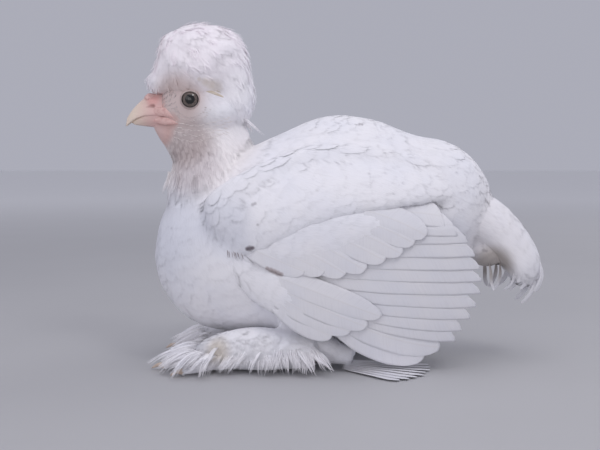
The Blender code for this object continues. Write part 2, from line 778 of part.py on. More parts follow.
def fringe_vanes():
    """The foot's feathers, spread round it from its ridge down to the floor."""
    stations = np.column_stack([np.linspace(0, 1, len(FRINGE)), FRINGE])
    share, width = np.array(LOCK_SHAPE).T
    made = []
    for x, y, z, degrees, length in hermite(stations, np.linspace(0, 1, FRINGE_COUNT)):
        ahead = heading(degrees)
        length = length * RNG.uniform(0.93, 1.07)
        spine = np.array([x, y, 0]) + ahead * (length * share - FRINGE_ROOT)[:, None]
        spine[:, 2] = z * (1 - share**1.5) + FRINGE_REST * share
        up = np.tile([0.0, 0.0, 1.0], (len(share), 1))
        made.append(lock(spine, up, FRINGE_HALF_WIDTH * width, LOCK_THICK, FRINGE_LEAN))
    return made


def hock_vanes():
    """The heel's stiff feathers, fanned back over the floor."""
    share, width = np.array(HOCK_SHAPE).T
    fan = zip(np.linspace(*HOCK_HEADINGS, HOCK_COUNT), np.linspace(*HOCK_LENGTHS, HOCK_COUNT))
    made = []
    for number, (degrees, length) in enumerate(fan):
        spine = np.array(HEEL) + heading(degrees) * (length * share)[:, None]
        spine[:, 2] = (HOCK_LOW + HOCK_STACK * number) * (1 - share) + HOCK_REST * share
        up = np.tile([0.0, 0.0, 1.0], (len(share), 1))
        made.append(lock(spine, up, HOCK_HALF_WIDTH * width, VANE_THICK, HOCK_LEAN))
    return made


def main():
    for old in list(bpy.data.objects):
        bpy.data.objects.remove(old)
    white = finish_material("white_feather", (0.86, 0.86, 0.88), 0.7)
    horn = finish_material("bill_horn", (0.80, 0.62, 0.56), 0.45)
    skin = finish_material("pink_skin", (0.80, 0.55, 0.50), 0.6)
    dark = finish_material("eye", (0.05, 0.04, 0.04), 0.1)
    pale = finish_material("claw_horn", (0.78, 0.72, 0.66), 0.45)

    trunk_grown = body_loft(TRUNK, TRUNK_MESH, GAP)
    head_grown = body_loft(HEAD, HEAD_MESH, GAP)
    upper_grown = bill_loft(UPPER_BILL, UPPER_BILL_TIP, True, GAP)
    lower_grown = bill_loft(LOWER_BILL, LOWER_BILL_TIP, False, GAP)
    ground = box(*FLOOR)
    add("torso", body_loft(TRUNK, TRUNK_MESH), white)

    neck = add("neck", neck_loft(), white)
    fuse(neck, ruff_locks())
    cut(neck, [trunk_grown])
    cut(neck, [head_grown, lower_grown])

    head = add("head", body_loft(HEAD, HEAD_MESH), white)
    lid = ring_tube((EYE[0], EYE[1] - LID_OUT, EYE[2]), LID_RING, LID_THICK)
    fuse(head, [lid, mirrored(lid)])
    eye_hole = ball(EYE, (EYE_RADIUS + GAP,) * 3, 6, 12)
    cut(head, [eye_hole, mirrored(eye_hole), upper_grown])
    cut(head, [lower_grown])
    add_right(add("eye_left", ball(EYE, (EYE_RADIUS,) * 3, 6, 12), dark), "eye_right")

    nostril = ball(NOSTRIL, NOSTRIL_HALF, 4, 8)
    bill = add("bill_upper", bill_loft(UPPER_BILL, UPPER_BILL_TIP, True), horn)
    cut(bill, [nostril, mirrored(nostril)])
    add("bill_lower", bill_loft(LOWER_BILL, LOWER_BILL_TIP, False), horn)
    comb = add("comb", ball(COMB, COMB_HALF, 5, 8), skin)
    cut(comb, [head_grown])
    cut(comb, [upper_grown])

    crest = add("crest", ball(CREST, CREST_CORE, 6, 14), white)
    cut(crest, [crest_underside()])
    fuse(crest, crest_locks())
    cut(crest, [head_grown])
    comb_grown = ball(COMB, np.array(COMB_HALF) + GAP, 5, 8)
    around_eye = ball((EYE[0], EYE[1] - 3.0, EYE[2]), (LID_RING + LID_THICK + 0.6,) * 3, 7, 12)
    cut(crest, [comb_grown, around_eye, mirrored(around_eye)])
    cut(crest, [upper_grown])
    cut(crest, [neck_loft(GAP)])

    tail = add("tail", tail_stump(), white)
    fuse(tail, tail_row(TAIL_FEATHERS) + tail_row(TAIL_COVERTS))
    cut(tail, [trunk_grown])

    wing = add("wing_left", wing_core(), white)
    fuse(wing, wing_feathers())
    cut(wing, [trunk_grown])
    add_right(wing, "wing_right")

    thigh = add("thigh_left", thigh_loft(), white)
    cut(thigh, [trunk_grown])
    cut(thigh, [ground])
    add_right(thigh, "thigh_right")

    shank = add("shank_left", shank_loft(), white)
    fuse(shank, hock_vanes())
    cut(shank, [trunk_grown])
    cut(shank, [thigh_loft(GAP)])
    cut(shank, [ground])
    add_right(shank, "shank_right")

    foot = add("foot_left", palm_ball(), white)
    ridge = path_loft(smooth_path(MUFF, 5), smooth_path(MUFF_HALF, 5), 8)
    fuse(foot, [toe_loft(number) for number in range(5)] + [ridge] + fringe_vanes())
    cut(foot, [shank_loft(GAP)])
    cut(foot, [trunk_grown])
    cut(foot, [thigh_loft(GAP)])
    cut(foot, [claw_loft(number, GAP) for number in (1, 2, 3)])
    cut(foot, [ground])
    add_right(foot, "foot_right")
    for number in range(5):
        claw = add(f"claw_left_{number + 1}", claw_loft(number), pale)
        cut(claw, [toe_loft(number, GAP), ground])
        add_right(claw, f"claw_right_{number + 1}")


main()
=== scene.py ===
"""Looks of a young sultan chicken, crouching, as a still life-size model.

The bird faces -X, with +Z up and the floor at Z = 0. Its left side is towards -Y.
Sizes are in millimetres and become metres where each mesh is made.
"""

import math

import bpy
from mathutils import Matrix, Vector
from mathutils.bvhtree import BVHTree
import numpy as np


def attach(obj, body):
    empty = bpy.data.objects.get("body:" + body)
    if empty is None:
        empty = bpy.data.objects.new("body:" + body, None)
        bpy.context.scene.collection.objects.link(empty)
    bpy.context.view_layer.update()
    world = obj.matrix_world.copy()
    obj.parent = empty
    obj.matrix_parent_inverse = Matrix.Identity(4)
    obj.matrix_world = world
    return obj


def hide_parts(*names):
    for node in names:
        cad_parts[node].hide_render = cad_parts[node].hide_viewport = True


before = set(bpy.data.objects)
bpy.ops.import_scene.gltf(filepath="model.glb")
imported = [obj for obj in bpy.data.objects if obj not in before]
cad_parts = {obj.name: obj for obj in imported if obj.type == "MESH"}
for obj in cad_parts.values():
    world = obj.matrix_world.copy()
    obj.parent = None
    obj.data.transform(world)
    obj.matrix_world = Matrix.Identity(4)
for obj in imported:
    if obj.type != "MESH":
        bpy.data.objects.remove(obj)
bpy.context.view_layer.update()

MM = 0.001
# Centres the bird over the origin
ORIGIN_SHIFT = np.array([-0.8, 0.0, 0.0])
SIDES = {"left": -1, "right": 1}
SIDEWAYS, UPWARDS = np.array([0, 1, 0]), (0.0, 0.0, 1.0)
# Random draws for the single feathers and locks
RNG = np.random.default_rng(7)

# The camera's place and downward pitch in degrees, and its lens for a film 36 mm wide.
CAMERA_AT = (-22.3, -600.0, 126.0)
CAMERA_PITCH, CAMERA_LENS = 3.96, 58.1

# The trunk along X: x, height of its widest line, rise above it, drop below it, half width.
TRUNK = [
    (-112.0, 66.0, 4.0, 4.0, 4.0),
    (-109.0, 67.0, 18.0, 17.0, 17.0),
    (-102.0, 68.0, 34.0, 31.0, 27.0),
    (-88.0, 68.0, 48.0, 44.0, 37.0),
    (-66.0, 68.0, 59.0, 50.0, 44.0),
    (-38.0, 70.0, 70.0, 56.0, 47.0),
    (-6.0, 74.0, 78.5, 60.0, 47.5),
    (22.0, 78.0, 72.5, 61.0, 45.0),
    (48.0, 86.0, 55.0, 58.0, 39.0),
    (70.0, 95.0, 41.0, 44.0, 31.0),
    (86.0, 101.0, 23.0, 27.0, 21.0),
    (94.0, 103.0, 9.0, 10.0, 9.0),
]
# The neck upwards: z, x of its middle, half length, half width.
NECK = [
    (92.0, -79.0, 26.0, 29.0),
    (98.0, -79.0, 26.0, 29.0),
    (110.0, -78.0, 26.5, 28.0),
    (118.0, -77.0, 25.5, 26.0),
    (127.0, -76.5, 24.5, 21.5),
    (136.0, -79.0, 27.0, 18.0),
    (144.0, -81.5, 27.5, 14.5),
    (154.0, -81.0, 18.0, 9.0),
]
# The head along X, in the trunk's columns.
HEAD = [
    (-109.0, 155.0, 6.0, 6.0, 4.8),
    (-106.5, 155.5, 11.5, 11.5, 8.0),
    (-101.0, 157.0, 17.5, 18.0, 12.4),
    (-94.0, 158.5, 22.0, 22.0, 15.8),
    (-84.0, 159.5, 24.0, 23.5, 17.4),
    (-72.0, 159.0, 23.5, 23.5, 17.0),
    (-64.0, 158.0, 19.0, 20.5, 14.5),
    (-58.0, 157.0, 12.0, 14.0, 9.5),
    (-55.0, 156.5, 5.0, 6.0, 5.0),
]
# How deep the skin lies under the coat on trunk, neck, head and legs.
COAT_DEPTH = {"trunk": 1.0, "neck": 0.9, "head": 0.6, "leg": 1.2}


# Points, curves and closed surfaces

def hermite(stations, at):
    """The columns of stations after the first, smoothly interpolated at each value of the first."""
    table = np.array(stations, float)
    x, values = table[:, 0], table[:, 1:]
    slope = np.gradient(values, x, axis=0)
    index = np.clip(np.searchsorted(x, at, side="right") - 1, 0, len(x) - 2)
    span = (x[index + 1] - x[index])[:, None]
    t = ((np.asarray(at) - x[index])[:, None]) / span
    low, high = values[index], values[index + 1]
    start, end = slope[index] * span, slope[index + 1] * span
    return (
        (2 * t**3 - 3 * t**2 + 1) * low
        + (t**3 - 2 * t**2 + t) * start
        + (3 * t**2 - 2 * t**3) * high
        + (t**3 - t**2) * end
    )


def smooth_path(points, count):
    """Points along a smooth curve through the given ones."""
    share = np.linspace(0, 1, len(points))
    return hermite(np.column_stack([share, np.array(points, float)]), np.linspace(0, 1, count))


def unit(vectors):
    return vectors / np.maximum(np.linalg.norm(vectors, axis=-1, keepdims=True), 1e-9)


def ramp(value, low, high):
    """0 at low and 1 at high, smoothly, whichever is the greater."""
    t = np.clip((value - low) / (high - low), 0, 1)
    return t * t * (3 - 2 * t)


def turns(count):
    """Angles spread evenly round a circle."""
    return np.arange(count) * 2 * math.pi / count


def tube(rings, first=None, last=None):
    """A closed surface through rings of points, ending on one point at either end."""
    rings = np.asarray(rings, float)
    count, around = rings.shape[:2]
    first = rings[0].mean(axis=0) if first is None else first
    last = rings[-1].mean(axis=0) if last is None else last
    points = np.vstack([rings.reshape(-1, 3), [first, last]])
    here = np.arange(count * around).reshape(count, around)
    beside = np.roll(here, -1, axis=1)
    quads = np.stack([here[:-1], beside[:-1], beside[1:], here[1:]], axis=-1).reshape(-1, 4)
    top, end = np.full(around, count * around), np.full(around, count * around + 1)
    tris = np.concatenate(
        [np.column_stack([top, beside[0], here[0]]), np.column_stack([end, here[-1], beside[-1]])]
    )
    corners = np.concatenate([quads[:, :3], quads[:, [0, 2, 3]], tris])
    if np.linalg.det(points[corners]).sum() < 0:
        quads, tris = quads[:, ::-1], tris[:, ::-1]
    return points, quads, tris


def thin_solid(top, low):
    """A closed thin surface between two grids of points."""
    rings = np.concatenate([top, low[:, ::-1]], axis=1)
    count, around = rings.shape[:2]
    here = np.arange(count * around).reshape(count, around)
    beside = np.roll(here, -1, axis=1)
    sides = np.stack([here[:-1], beside[:-1], beside[1:], here[1:]], axis=-1).reshape(-1, 4)
    half = around // 2
    ends = []
    for row, flip in ((here[0], 1), (here[-1], -1)):
        back = row[::-1]
        cap = np.stack([row[: half - 1], back[: half - 1], back[1:half], row[1:half]], axis=-1)
        ends.append(cap[:, ::flip])
    quads = np.concatenate([sides, *ends])
    points = rings.reshape(-1, 3)
    corners = np.concatenate([quads[:, :3], quads[:, [0, 2, 3]]])
    if np.linalg.det(points[corners] - points.mean(axis=0)).sum() < 0:
        quads = quads[:, ::-1]
    return points, quads, np.zeros((0, 3), int)


def mirrored(surface):
    points, quads, tris = surface
    return points * (1, -1, 1), quads[:, ::-1], tris[:, ::-1]


def on_side(surface, side):
    """A surface of the left side, or its mirror image for the right."""
    return surface if side == "left" else mirrored(surface)


def placed(name, data):
    """A new object in the scene."""
    thing = bpy.data.objects.new(name, data)
    bpy.context.scene.collection.objects.link(thing)
    return thing


class Shape:
    """The closed surfaces of one piece, with values at their points."""

    def __init__(self):
        self.points, self.quads, self.tris, self.values = [], [], [], {}
        self.count = 0

    def add(self, surface, **values):
        points, quads, tris = surface
        self.points.append(points)
        self.quads.append(quads + self.count)
        self.tris.append(tris + self.count)
        for name, value in values.items():
            value = np.asarray(value, float)
            if value.shape[:1] != (len(points),):
                value = np.broadcast_to(value, (len(points), *value.shape))
            self.values.setdefault(name, []).append(value)
        self.count += len(points)

    def build(self, name, material, scale=MM, shift=ORIGIN_SHIFT):
        points = (np.vstack(self.points) + shift) * scale
        faces = np.vstack(self.quads).tolist() + np.vstack(self.tris).tolist()
        mesh = bpy.data.meshes.new(name)
        mesh.from_pydata(points.tolist(), [], faces)
        mesh.shade_smooth()
        if material:
            mesh.materials.append(material)
        for key, value in self.values.items():
            set_values(mesh, key, np.concatenate(value))
        return placed(name, mesh)


def joined(name, material, surfaces, both=False):
    """One piece of closed surfaces, each with its mirror image where both sides have it."""
    shape = Shape()
    for surface in surfaces:
        shape.add(surface)
        if both:
            shape.add(mirrored(surface))
    return shape.build(name, material)


def set_values(mesh, name, values):
    """A named value at each point of a mesh: a number or a vector."""
    values = np.asarray(values, np.float32)
    kind = "FLOAT" if values.ndim == 1 else "FLOAT_VECTOR"
    attribute = mesh.attributes.new(name, kind, "POINT")
    attribute.data.foreach_set("value" if kind == "FLOAT" else "vector", values.reshape(-1))


def set_bake_map(mesh, places):
    """The UV map that the finish is baked through, from a place for each point."""
    corners = np.empty(len(mesh.loops), np.int32)
    mesh.loops.foreach_get("vertex_index", corners)
    layer = mesh.uv_layers.new(name="OFBake")
    layer.uv.foreach_set("vector", places[corners].astype(np.float32).reshape(-1))


# Materials and node trees

class Wire:
    """A node's output, on which Python's operators add Math nodes."""

    def __init__(self, net, socket):
        self.net, self.socket = net, socket

    def math(self, operation, *values):
        return self.net.add("ShaderNodeMath", {"operation": operation}, dict(enumerate(values)))

    def __add__(self, other):
        return self.math("ADD", self, other)

    def __sub__(self, other):
        return self.math("SUBTRACT", self, other)

    def __rsub__(self, other):
        return self.math("SUBTRACT", other, self)

    def __mul__(self, other):
        return self.math("MULTIPLY", self, other)

    def __rtruediv__(self, other):
        return self.math("DIVIDE", other, self)

    def __pow__(self, other):
        return self.math("POWER", self, other)

    __radd__, __rmul__ = __add__, __mul__


class Net:
    """A node tree being built, for a material or for geometry."""

    def __init__(self, tree):
        self.tree = tree

    def add(self, kind, settings=(), sockets=(), out=0):
        """One output of a new node, from its settings and its sockets' values or links."""
        node = self.tree.nodes.new(kind)
        for name, value in dict(settings).items():
            setattr(node, name, value)
        for key, value in dict(sockets).items():
            if isinstance(value, Wire):
                self.tree.links.new(value.socket, node.inputs[key])
            else:
                node.inputs[key].default_value = value
        return Wire(self, node.outputs[out])

    def vector(self, operation, *values, out=0):
        settings = {"operation": operation}
        return self.add("ShaderNodeVectorMath", settings, dict(enumerate(values)), out)

    def scaled(self, vector, factor):
        sockets = {0: vector, "Scale": factor}
        return self.add("ShaderNodeVectorMath", {"operation": "SCALE"}, sockets)

    def mix(self, colour, other, factor):
        """colour where factor is 0, and other where it is 1."""
        sockets = {0: factor, 6: colour, 7: other}
        return self.add("ShaderNodeMix", {"data_type": "RGBA"}, sockets, out=2)

    def place(self):
        return self.add("ShaderNodeTexCoord", out="Object")

    def value(self, name):
        """The named value at a point of the mesh."""
        return self.add("ShaderNodeAttribute", {"attribute_name": name}, out="Fac")

    def noise(self, place, per_metre, detail=2.0):
        sockets = {"Vector": place, "Scale": per_metre, "Detail": detail}
        return self.add("ShaderNodeTexNoise", sockets=sockets)

    def span(self, value, low, high):
        """0 at low and 1 at high, smoothly, whichever is the greater."""
        sockets = {"Value": value, "From Min": low, "From Max": high, "To Min": 0.0, "To Max": 1.0}
        return self.add("ShaderNodeMapRange", {"interpolation_type": "SMOOTHSTEP"}, sockets)

    def near(self, place, centre, inner, outer):
        """1 within inner of a point given in millimetres, and 0 beyond outer."""
        point = tuple((np.array(centre) + ORIGIN_SHIFT) * MM)
        away = self.vector("DISTANCE", place, point, out="Value")
        return self.span(away, outer * MM, inner * MM)


def new_material(name, roughness, **fixed):
    """A material's net and its Principled shader, with the inputs that are the same all over."""
    material = bpy.data.materials.new(name)
    material.use_nodes = True
    shader = material.node_tree.nodes["Principled BSDF"]
    shader.inputs["Roughness"].default_value = roughness
    for socket, value in fixed.items():
        shader.inputs[socket.replace("_", " ")].default_value = value
    return material, Net(material.node_tree), shader


def feed(net, shader, colour=None, bump=None, strength=0.5, depth=0.3, roughness=None):
    """Links a colour, a roughness and a bump height, whose depth is in millimetres, to a shader."""
    if colour is not None:
        net.tree.links.new(colour.socket, shader.inputs["Base Color"])
    if roughness is not None:
        net.tree.links.new(roughness.socket, shader.inputs["Roughness"])
    if bump is not None:
        sockets = {"Height": bump, "Strength": strength, "Distance": depth * MM}
        normal = net.add("ShaderNodeBump", sockets=sockets)
        net.tree.links.new(normal.socket, shader.inputs["Normal"])


WHITE = (0.94, 0.93, 0.96, 1.0)
COOL_WHITE = (0.90, 0.90, 0.95, 1.0)
WARM_WHITE = (0.92, 0.87, 0.86, 1.0)
FACE_PINK = (0.66, 0.53, 0.50, 1.0)
THROAT_PINK = (0.44, 0.36, 0.35, 1.0)
BASE_PINK = (0.64, 0.40, 0.36, 1.0)
CREST_WHITE = (0.95, 0.90, 0.94, 1.0)
FOLD_CREAM = (0.62, 0.52, 0.40, 1.0)
STAIN = (0.62, 0.48, 0.26, 1.0)
SPECK = (0.16, 0.13, 0.15, 1.0)
GAP_FLESH_AND_SHADE = (0.22, 0.11, 0.09, 1.0)
PAINTED_SHADE_GREY = (0.74, 0.76, 0.84, 1.0)
NECK_GREY = (0.58, 0.52, 0.54, 1.0)
VENT_GREY_AND_SHADE = (0.46, 0.41, 0.37, 1.0)
BARB_GREY, SHAFT_CREAM = (0.74, 0.72, 0.76, 1.0), (0.86, 0.83, 0.82, 1.0)
HORN_PINK, HORN_TIP = (0.76, 0.50, 0.47, 1.0), (0.84, 0.71, 0.59, 1.0)
HORN_STREAK = (0.62, 0.40, 0.36, 1.0)
NOSTRIL_FLESH, NOSTRIL_SHADE = (0.76, 0.38, 0.35, 1.0), (0.24, 0.08, 0.07, 1.0)
FLESH_PINK, FLESH_RED = (0.78, 0.52, 0.48, 1.0), (0.68, 0.40, 0.37, 1.0)
FOLD_PALE = (0.74, 0.66, 0.56, 1.0)
SHEATH_WHITE, SHEATH_DARK = (0.86, 0.80, 0.77, 1.0), (0.20, 0.14, 0.15, 1.0)
LID_GREY, LID_PINK = (0.50, 0.40, 0.38, 1.0), (0.62, 0.51, 0.48, 1.0)
LID_RIM = (0.045, 0.035, 0.035, 1.0)
IRIS_DARK, IRIS_PALE = (0.08, 0.055, 0.045, 1.0), (0.20, 0.165, 0.145, 1.0)
PUPIL_BLACK = (0.006, 0.005, 0.005, 1.0)
CLAW_PALE, CLAW_BROWN = (0.70, 0.58, 0.48, 1.0), (0.52, 0.40, 0.33, 1.0)
FLOOR_GREY, FLOOR_PALE = (0.48, 0.48, 0.49, 1.0), (0.52, 0.52, 0.53, 1.0)
FLOOR_FAR = (0.92, 0.92, 0.92, 1.0)
# Tints laid over the white of both sides in turn: colour, strength, centre, inner and outer reach
TINTS = [
    (WARM_WHITE, 0.8, (-78.0, 0.0, 118.0), 20.0, 48.0),
    (WARM_WHITE, 0.5, (92.0, 0.0, 75.0), 10.0, 40.0),
    (CREST_WHITE, 0.9, (-85.0, 0.0, 185.0), 24.0, 40.0),
    # painted shade: the breast and the lower shoulder darkened to a bluish grey
    (PAINTED_SHADE_GREY, 0.75, (-96.0, -22.0, 82.0), 12.0, 40.0),
    (PAINTED_SHADE_GREY, 0.6, (-66.0, -46.0, 88.0), 8.0, 26.0),
    (NECK_GREY, 0.75, (-86.0, -18.0, 120.0), 8.0, 24.0),
    (THROAT_PINK, 0.85, (-90.0, -12.0, 135.0), 9.0, 23.0),
    (FACE_PINK, 0.9, (-95.0, -14.0, 161.0), 9.0, 22.0),
    (BASE_PINK, 0.9, (-108.0, 0.0, 156.0), 7.5, 13.0),
    (BASE_PINK, 0.7, (-100.0, -11.5, 148.5), 2.5, 6.5),
    (BASE_PINK, 0.8, (-106.0, -4.0, 142.0), 6.0, 13.0),
    (STAIN, 0.4, (-70.0, -40.0, 14.0), 2.0, 11.0),
    # the down under the tail: its own grey-brown, with painted shade under the tail
    (VENT_GREY_AND_SHADE, 0.85, (96.0, -10.0, 62.0), 7.0, 16.0),
]
# Narrow marks seen from the side: colour, strength, and spots of x, z and reach
EYE_FOLD_MARK = [(-82.0, 172.6, 1.4), (-79.0, 171.2, 2.4), (-76.0, 169.8, 3.4), (-72.5, 168.4, 4.2)]
# painted gap: the brown flesh and the shade of the gap between coverts and hand, painted on the
# feathers over it
WING_GAP_SHADE_MARK = [
    (-41.0, 63.2, 1.3),
    (-39.0, 62.3, 1.6),
    (-37.0, 61.4, 1.7),
    (-35.0, 60.5, 1.7),
    (-33.0, 59.8, 1.4),
]
SHOULDER_SPECK = [(-52.4, 74.3, 1.3), (-50.8, 74.6, 1.8), (-49.2, 75.0, 1.2)]
FAINT_SPECKS = [
    (-49.2, 99.6, 1.1),
    (-47.8, 100.2, 1.0),
    (-46.2, 88.3, 0.9),
    (13.5, 146.3, 0.9),
    (15.0, 146.0, 0.8),
    (89.4, 70.0, 1.2),
    (91.0, 69.6, 1.0),
]
MARKS = [
    (FOLD_CREAM, 0.4, EYE_FOLD_MARK),
    # painted shade of the wing's gap, with its flesh
    (GAP_FLESH_AND_SHADE, 0.55, WING_GAP_SHADE_MARK),
    (SPECK, 0.9, SHOULDER_SPECK),
    (SPECK, 0.4, FAINT_SPECKS),
]
# Where a mark starts and ends to fade, as shares of its reach
MARK_FADE = (0.3, 1.4)


def plumage_colour(net, place):
    """The white of skin and coat, with the tints, marks and painted shade that both carry."""
    mottle = net.noise(place, 45.0, 3.0)
    colour = net.mix(WHITE, COOL_WHITE, net.span(mottle, 0.35, 0.7))
    flat = net.vector("MULTIPLY", place, (1.0, 0.0, 1.0))
    folded = net.vector("MULTIPLY", net.vector("ABSOLUTE", place), (0.0, -1.0, 0.0))
    folded = net.vector("ADD", folded, flat)
    for tint, strength, centre, inner, outer in TINTS:
        colour = net.mix(colour, tint, net.near(folded, centre, inner, outer) * strength)
    start, end = MARK_FADE
    for tint, strength, spots in MARKS:
        for x, z, reach in spots:
            spot = net.near(flat, (x, 0.0, z), start * reach, end * reach)
            colour = net.mix(colour, tint, spot * strength)
    return colour


def soft_looks(sheen, glow):
    """What is the same all over soft feathers: sheen, and a painted glow, an emission that stands
    in for light passing through them.
    """
    return {
        "Sheen_Weight": sheen,
        "Sheen_Roughness": 0.5,
        # painted glow: the feathers give off a little white light of their own
        "Emission_Color": CREST_WHITE,
        "Emission_Strength": glow,
    }


DOWN_ROUGHNESS = 0.8


def down_material(name="white_down", glow=0.0):
    """Small body feathers and the downy skin under them."""
    material, net, shader = new_material(name, DOWN_ROUGHNESS, **soft_looks(0.12, glow))
    place = net.place()
    feed(net, shader, plumage_colour(net, place), net.noise(place, 900.0, 3.0), 0.25, 0.3)
    return material


# How far the surface under soft feathers, and not their own, sets how light falls on them
SOFTNESS = 0.85
# How strongly the crest and the loose locks glow: painted light, an emission that stands in for the
# light that passes through them
CREST_PAINTED_GLOW, LOCK_PAINTED_GLOW = 0.04, 0.06
# How far through the noise the feathers are spread, so that each has its own streaks and sway
CHANCE_STEP = 977.0


def tuft_material(name="white_tufts", softness=SOFTNESS, glow=0.0):
    """Soft feathers with fine barbs, a little darker towards the root."""
    material, net, shader = new_material(name, DOWN_ROUGHNESS, **soft_looks(0.1, glow))
    along, across, chance = net.value("along"), net.value("across"), net.value("chance")
    line = {0: across * 24.0 + chance * CHANCE_STEP, 1: along * 1.6}
    streak = net.noise(net.add("ShaderNodeCombineXYZ", sockets=line), 1.0, 2.0)
    shade = 0.95 + 0.05 * net.span(along, 0.0, 0.6)
    shade = shade * (1.0 - 0.07 * net.span(streak, 0.45, 0.75))
    feed(net, shader, net.scaled(plumage_colour(net, net.place()), shade))
    if softness:
        own = net.scaled(net.add("ShaderNodeTexCoord", out="Normal"), 1.0 - softness)
        body = net.add("ShaderNodeAttribute", {"attribute_name": "body_way"}, out="Vector")
        way = net.vector("NORMALIZE", net.vector("ADD", own, net.scaled(body, softness)))
        sockets = {"Height": streak, "Strength": 0.25, "Distance": 0.25 * MM, "Normal": way}
        bumpy = net.add("ShaderNodeBump", sockets=sockets)
        net.tree.links.new(bumpy.socket, shader.inputs["Normal"])
    return material


# How bright stiff feathers are beside the soft ones
VANE_TONE = 0.89


def vane_material():
    """Stiff feathers, with their barbs slanting from the shaft."""
    material, net, shader = new_material("white_vanes", 0.62, Sheen_Weight=0.1, Sheen_Roughness=0.4)
    place = net.place()
    along, across = net.value("along_mm"), net.value("across")
    aside = net.add("ShaderNodeMath", {"operation": "ABSOLUTE"}, {0: across})
    barbs = net.add("ShaderNodeCombineXYZ", sockets={0: along * 1.1 - aside * 4.5, 1: across * 0.6})
    streak = net.noise(barbs, 1.0, 3.0)
    shaft = net.span(aside, 0.09, 0.03)
    colour = net.mix(plumage_colour(net, place), BARB_GREY, net.span(streak, 0.45, 0.75) * 0.2)
    colour = net.mix(colour, SHAFT_CREAM, shaft * 0.25)
    feed(net, shader, net.scaled(colour, VANE_TONE), streak + shaft * 0.8, 0.2, 0.2)
    return material


# The nostril's slit, painted as shade in its opening: x of the dark spots that make it, with their
# y and z, and the flesh round it
SLIT_X, SLIT_Y, SLIT_Z = (-115.8, -114.4, -113.0, -111.6), 7.0, 157.6
SLIT_FLESH = (-112.0, 5.5, 161.0)
# Where the bill pales towards its tip, in metres along X
HORN_FADE = (-0.1105, -0.1275)


def horn_material():
    """The bill: pinkish horn, paler at its tip, with pink flesh round the nostrils and painted
    shade in their slits.
    """
    material, net, shader = new_material("bill_horn", 0.38, Coat_Weight=0.15, Coat_Roughness=0.3)
    place = net.place()
    along = net.add("ShaderNodeSeparateXYZ", sockets={0: place})
    colour = net.mix(HORN_PINK, HORN_TIP, net.span(along, *HORN_FADE))
    for side in SIDES.values():
        flesh = net.near(place, np.array(SLIT_FLESH) * (1, side, 1), 1.5, 5.5)
        colour = net.mix(colour, NOSTRIL_FLESH, flesh * 0.75)
        # painted shade: dark spots that make the nostril's opening
        for x in SLIT_X:
            slit = net.near(place, (x, SLIT_Y * side, SLIT_Z), 0.5, 1.7)
            colour = net.mix(colour, NOSTRIL_SHADE, slit * 0.8)
    grain = net.noise(net.vector("MULTIPLY", place, (300.0, 900.0, 1500.0)), 1.0, 3.0)
    colour = net.mix(colour, HORN_STREAK, net.span(grain, 0.5, 0.8) * 0.3)
    feed(net, shader, colour, grain, 0.3, 0.15)
    return material


def flesh_material(name, colour, other, per_metre, bump=0.5):
    """Bare skin in two colours, with small folds."""
    material, net, shader = new_material(name, 0.5, Coat_Weight=0.1, Coat_Roughness=0.4)
    place = net.place()
    folds = net.noise(place, per_metre, 4.0)
    feed(net, shader, net.mix(colour, other, net.span(folds, 0.4, 0.7)), folds, bump, 0.3)
    return material


def pin_material():
    """Sheaths of growing feathers, from white to a dark purplish grey."""
    material, net, shader = new_material("pin_sheath", 0.55)
    grain = net.noise(net.place(), 1500.0, 2.0)
    colour = net.mix(SHEATH_WHITE, SHEATH_DARK, net.value("dark"))
    feed(net, shader, colour, grain, 0.2, 0.1)
    return material


def lid_material():
    """The lids: pinkish grey, dark along the edge against the eye."""
    material, net, shader = new_material("lid_skin", 0.45)
    place = net.place()
    folds = net.noise(place, 1400.0, 3.0)
    edge = net.span(net.value("edge"), 0.0, 1.0)
    colour = net.mix(LID_GREY, LID_PINK, net.span(folds, 0.35, 0.7))
    colour = net.mix(colour, LID_RIM, edge)
    feed(net, shader, colour, folds, 0.4, 0.2)
    return material


def eye_material():
    """A grey-brown iris round a black pupil, under a wet gloss."""
    looks = {"Coat_Weight": 1.0, "Coat_Roughness": 0.02, "Specular_IOR_Level": 0.1}
    material, net, shader = new_material("eye_wet", 0.08, **looks)
    place = net.place()
    flat = net.vector("MULTIPLY", place, (1.0, 0.0, 1.0))
    centre = tuple((np.array((EYE[0], 0.0, EYE[2])) + ORIGIN_SHIFT) * MM)
    away = net.vector("DISTANCE", flat, centre, out="Value")
    fibres = net.noise(place, 2600.0, 2.0)
    iris = net.mix(IRIS_DARK, IRIS_PALE, net.span(fibres, 0.35, 0.7))
    colour = net.mix(PUPIL_BLACK, iris, net.span(away, PUPIL * MM, (PUPIL + 0.35) * MM))
    colour = net.mix(colour, PUPIL_BLACK, net.span(away, (IRIS - 0.3) * MM, (IRIS + 0.3) * MM))
    feed(net, shader, colour)
    return material


def claw_material():
    """Pale horn, browner in patches."""
    material, net, shader = new_material("claw_horn", 0.35, Coat_Weight=0.1)
    grain = net.noise(net.place(), 700.0, 2.0)
    feed(net, shader, net.mix(CLAW_PALE, CLAW_BROWN, grain), grain, 0.2, 0.1)
    return material


def floor_material():
    """A pale grey floor that lightens with distance."""
    material, net, shader = new_material("pale_floor", 0.7)
    place = net.place()
    colour = net.mix(FLOOR_GREY, FLOOR_PALE, net.noise(place, 6.0, 2.0))
    away = net.vector("LENGTH", place, out="Value")
    feed(net, shader, net.mix(colour, FLOOR_FAR, net.span(away, 0.5, 2.6)))
    return material


# The eyeball, and the reach of pupil and iris seen from its side
EYE, EYE_RADIUS = (-88.0, -12.8, 161.0), 6.6
PUPIL, IRIS = 2.7, 4.5

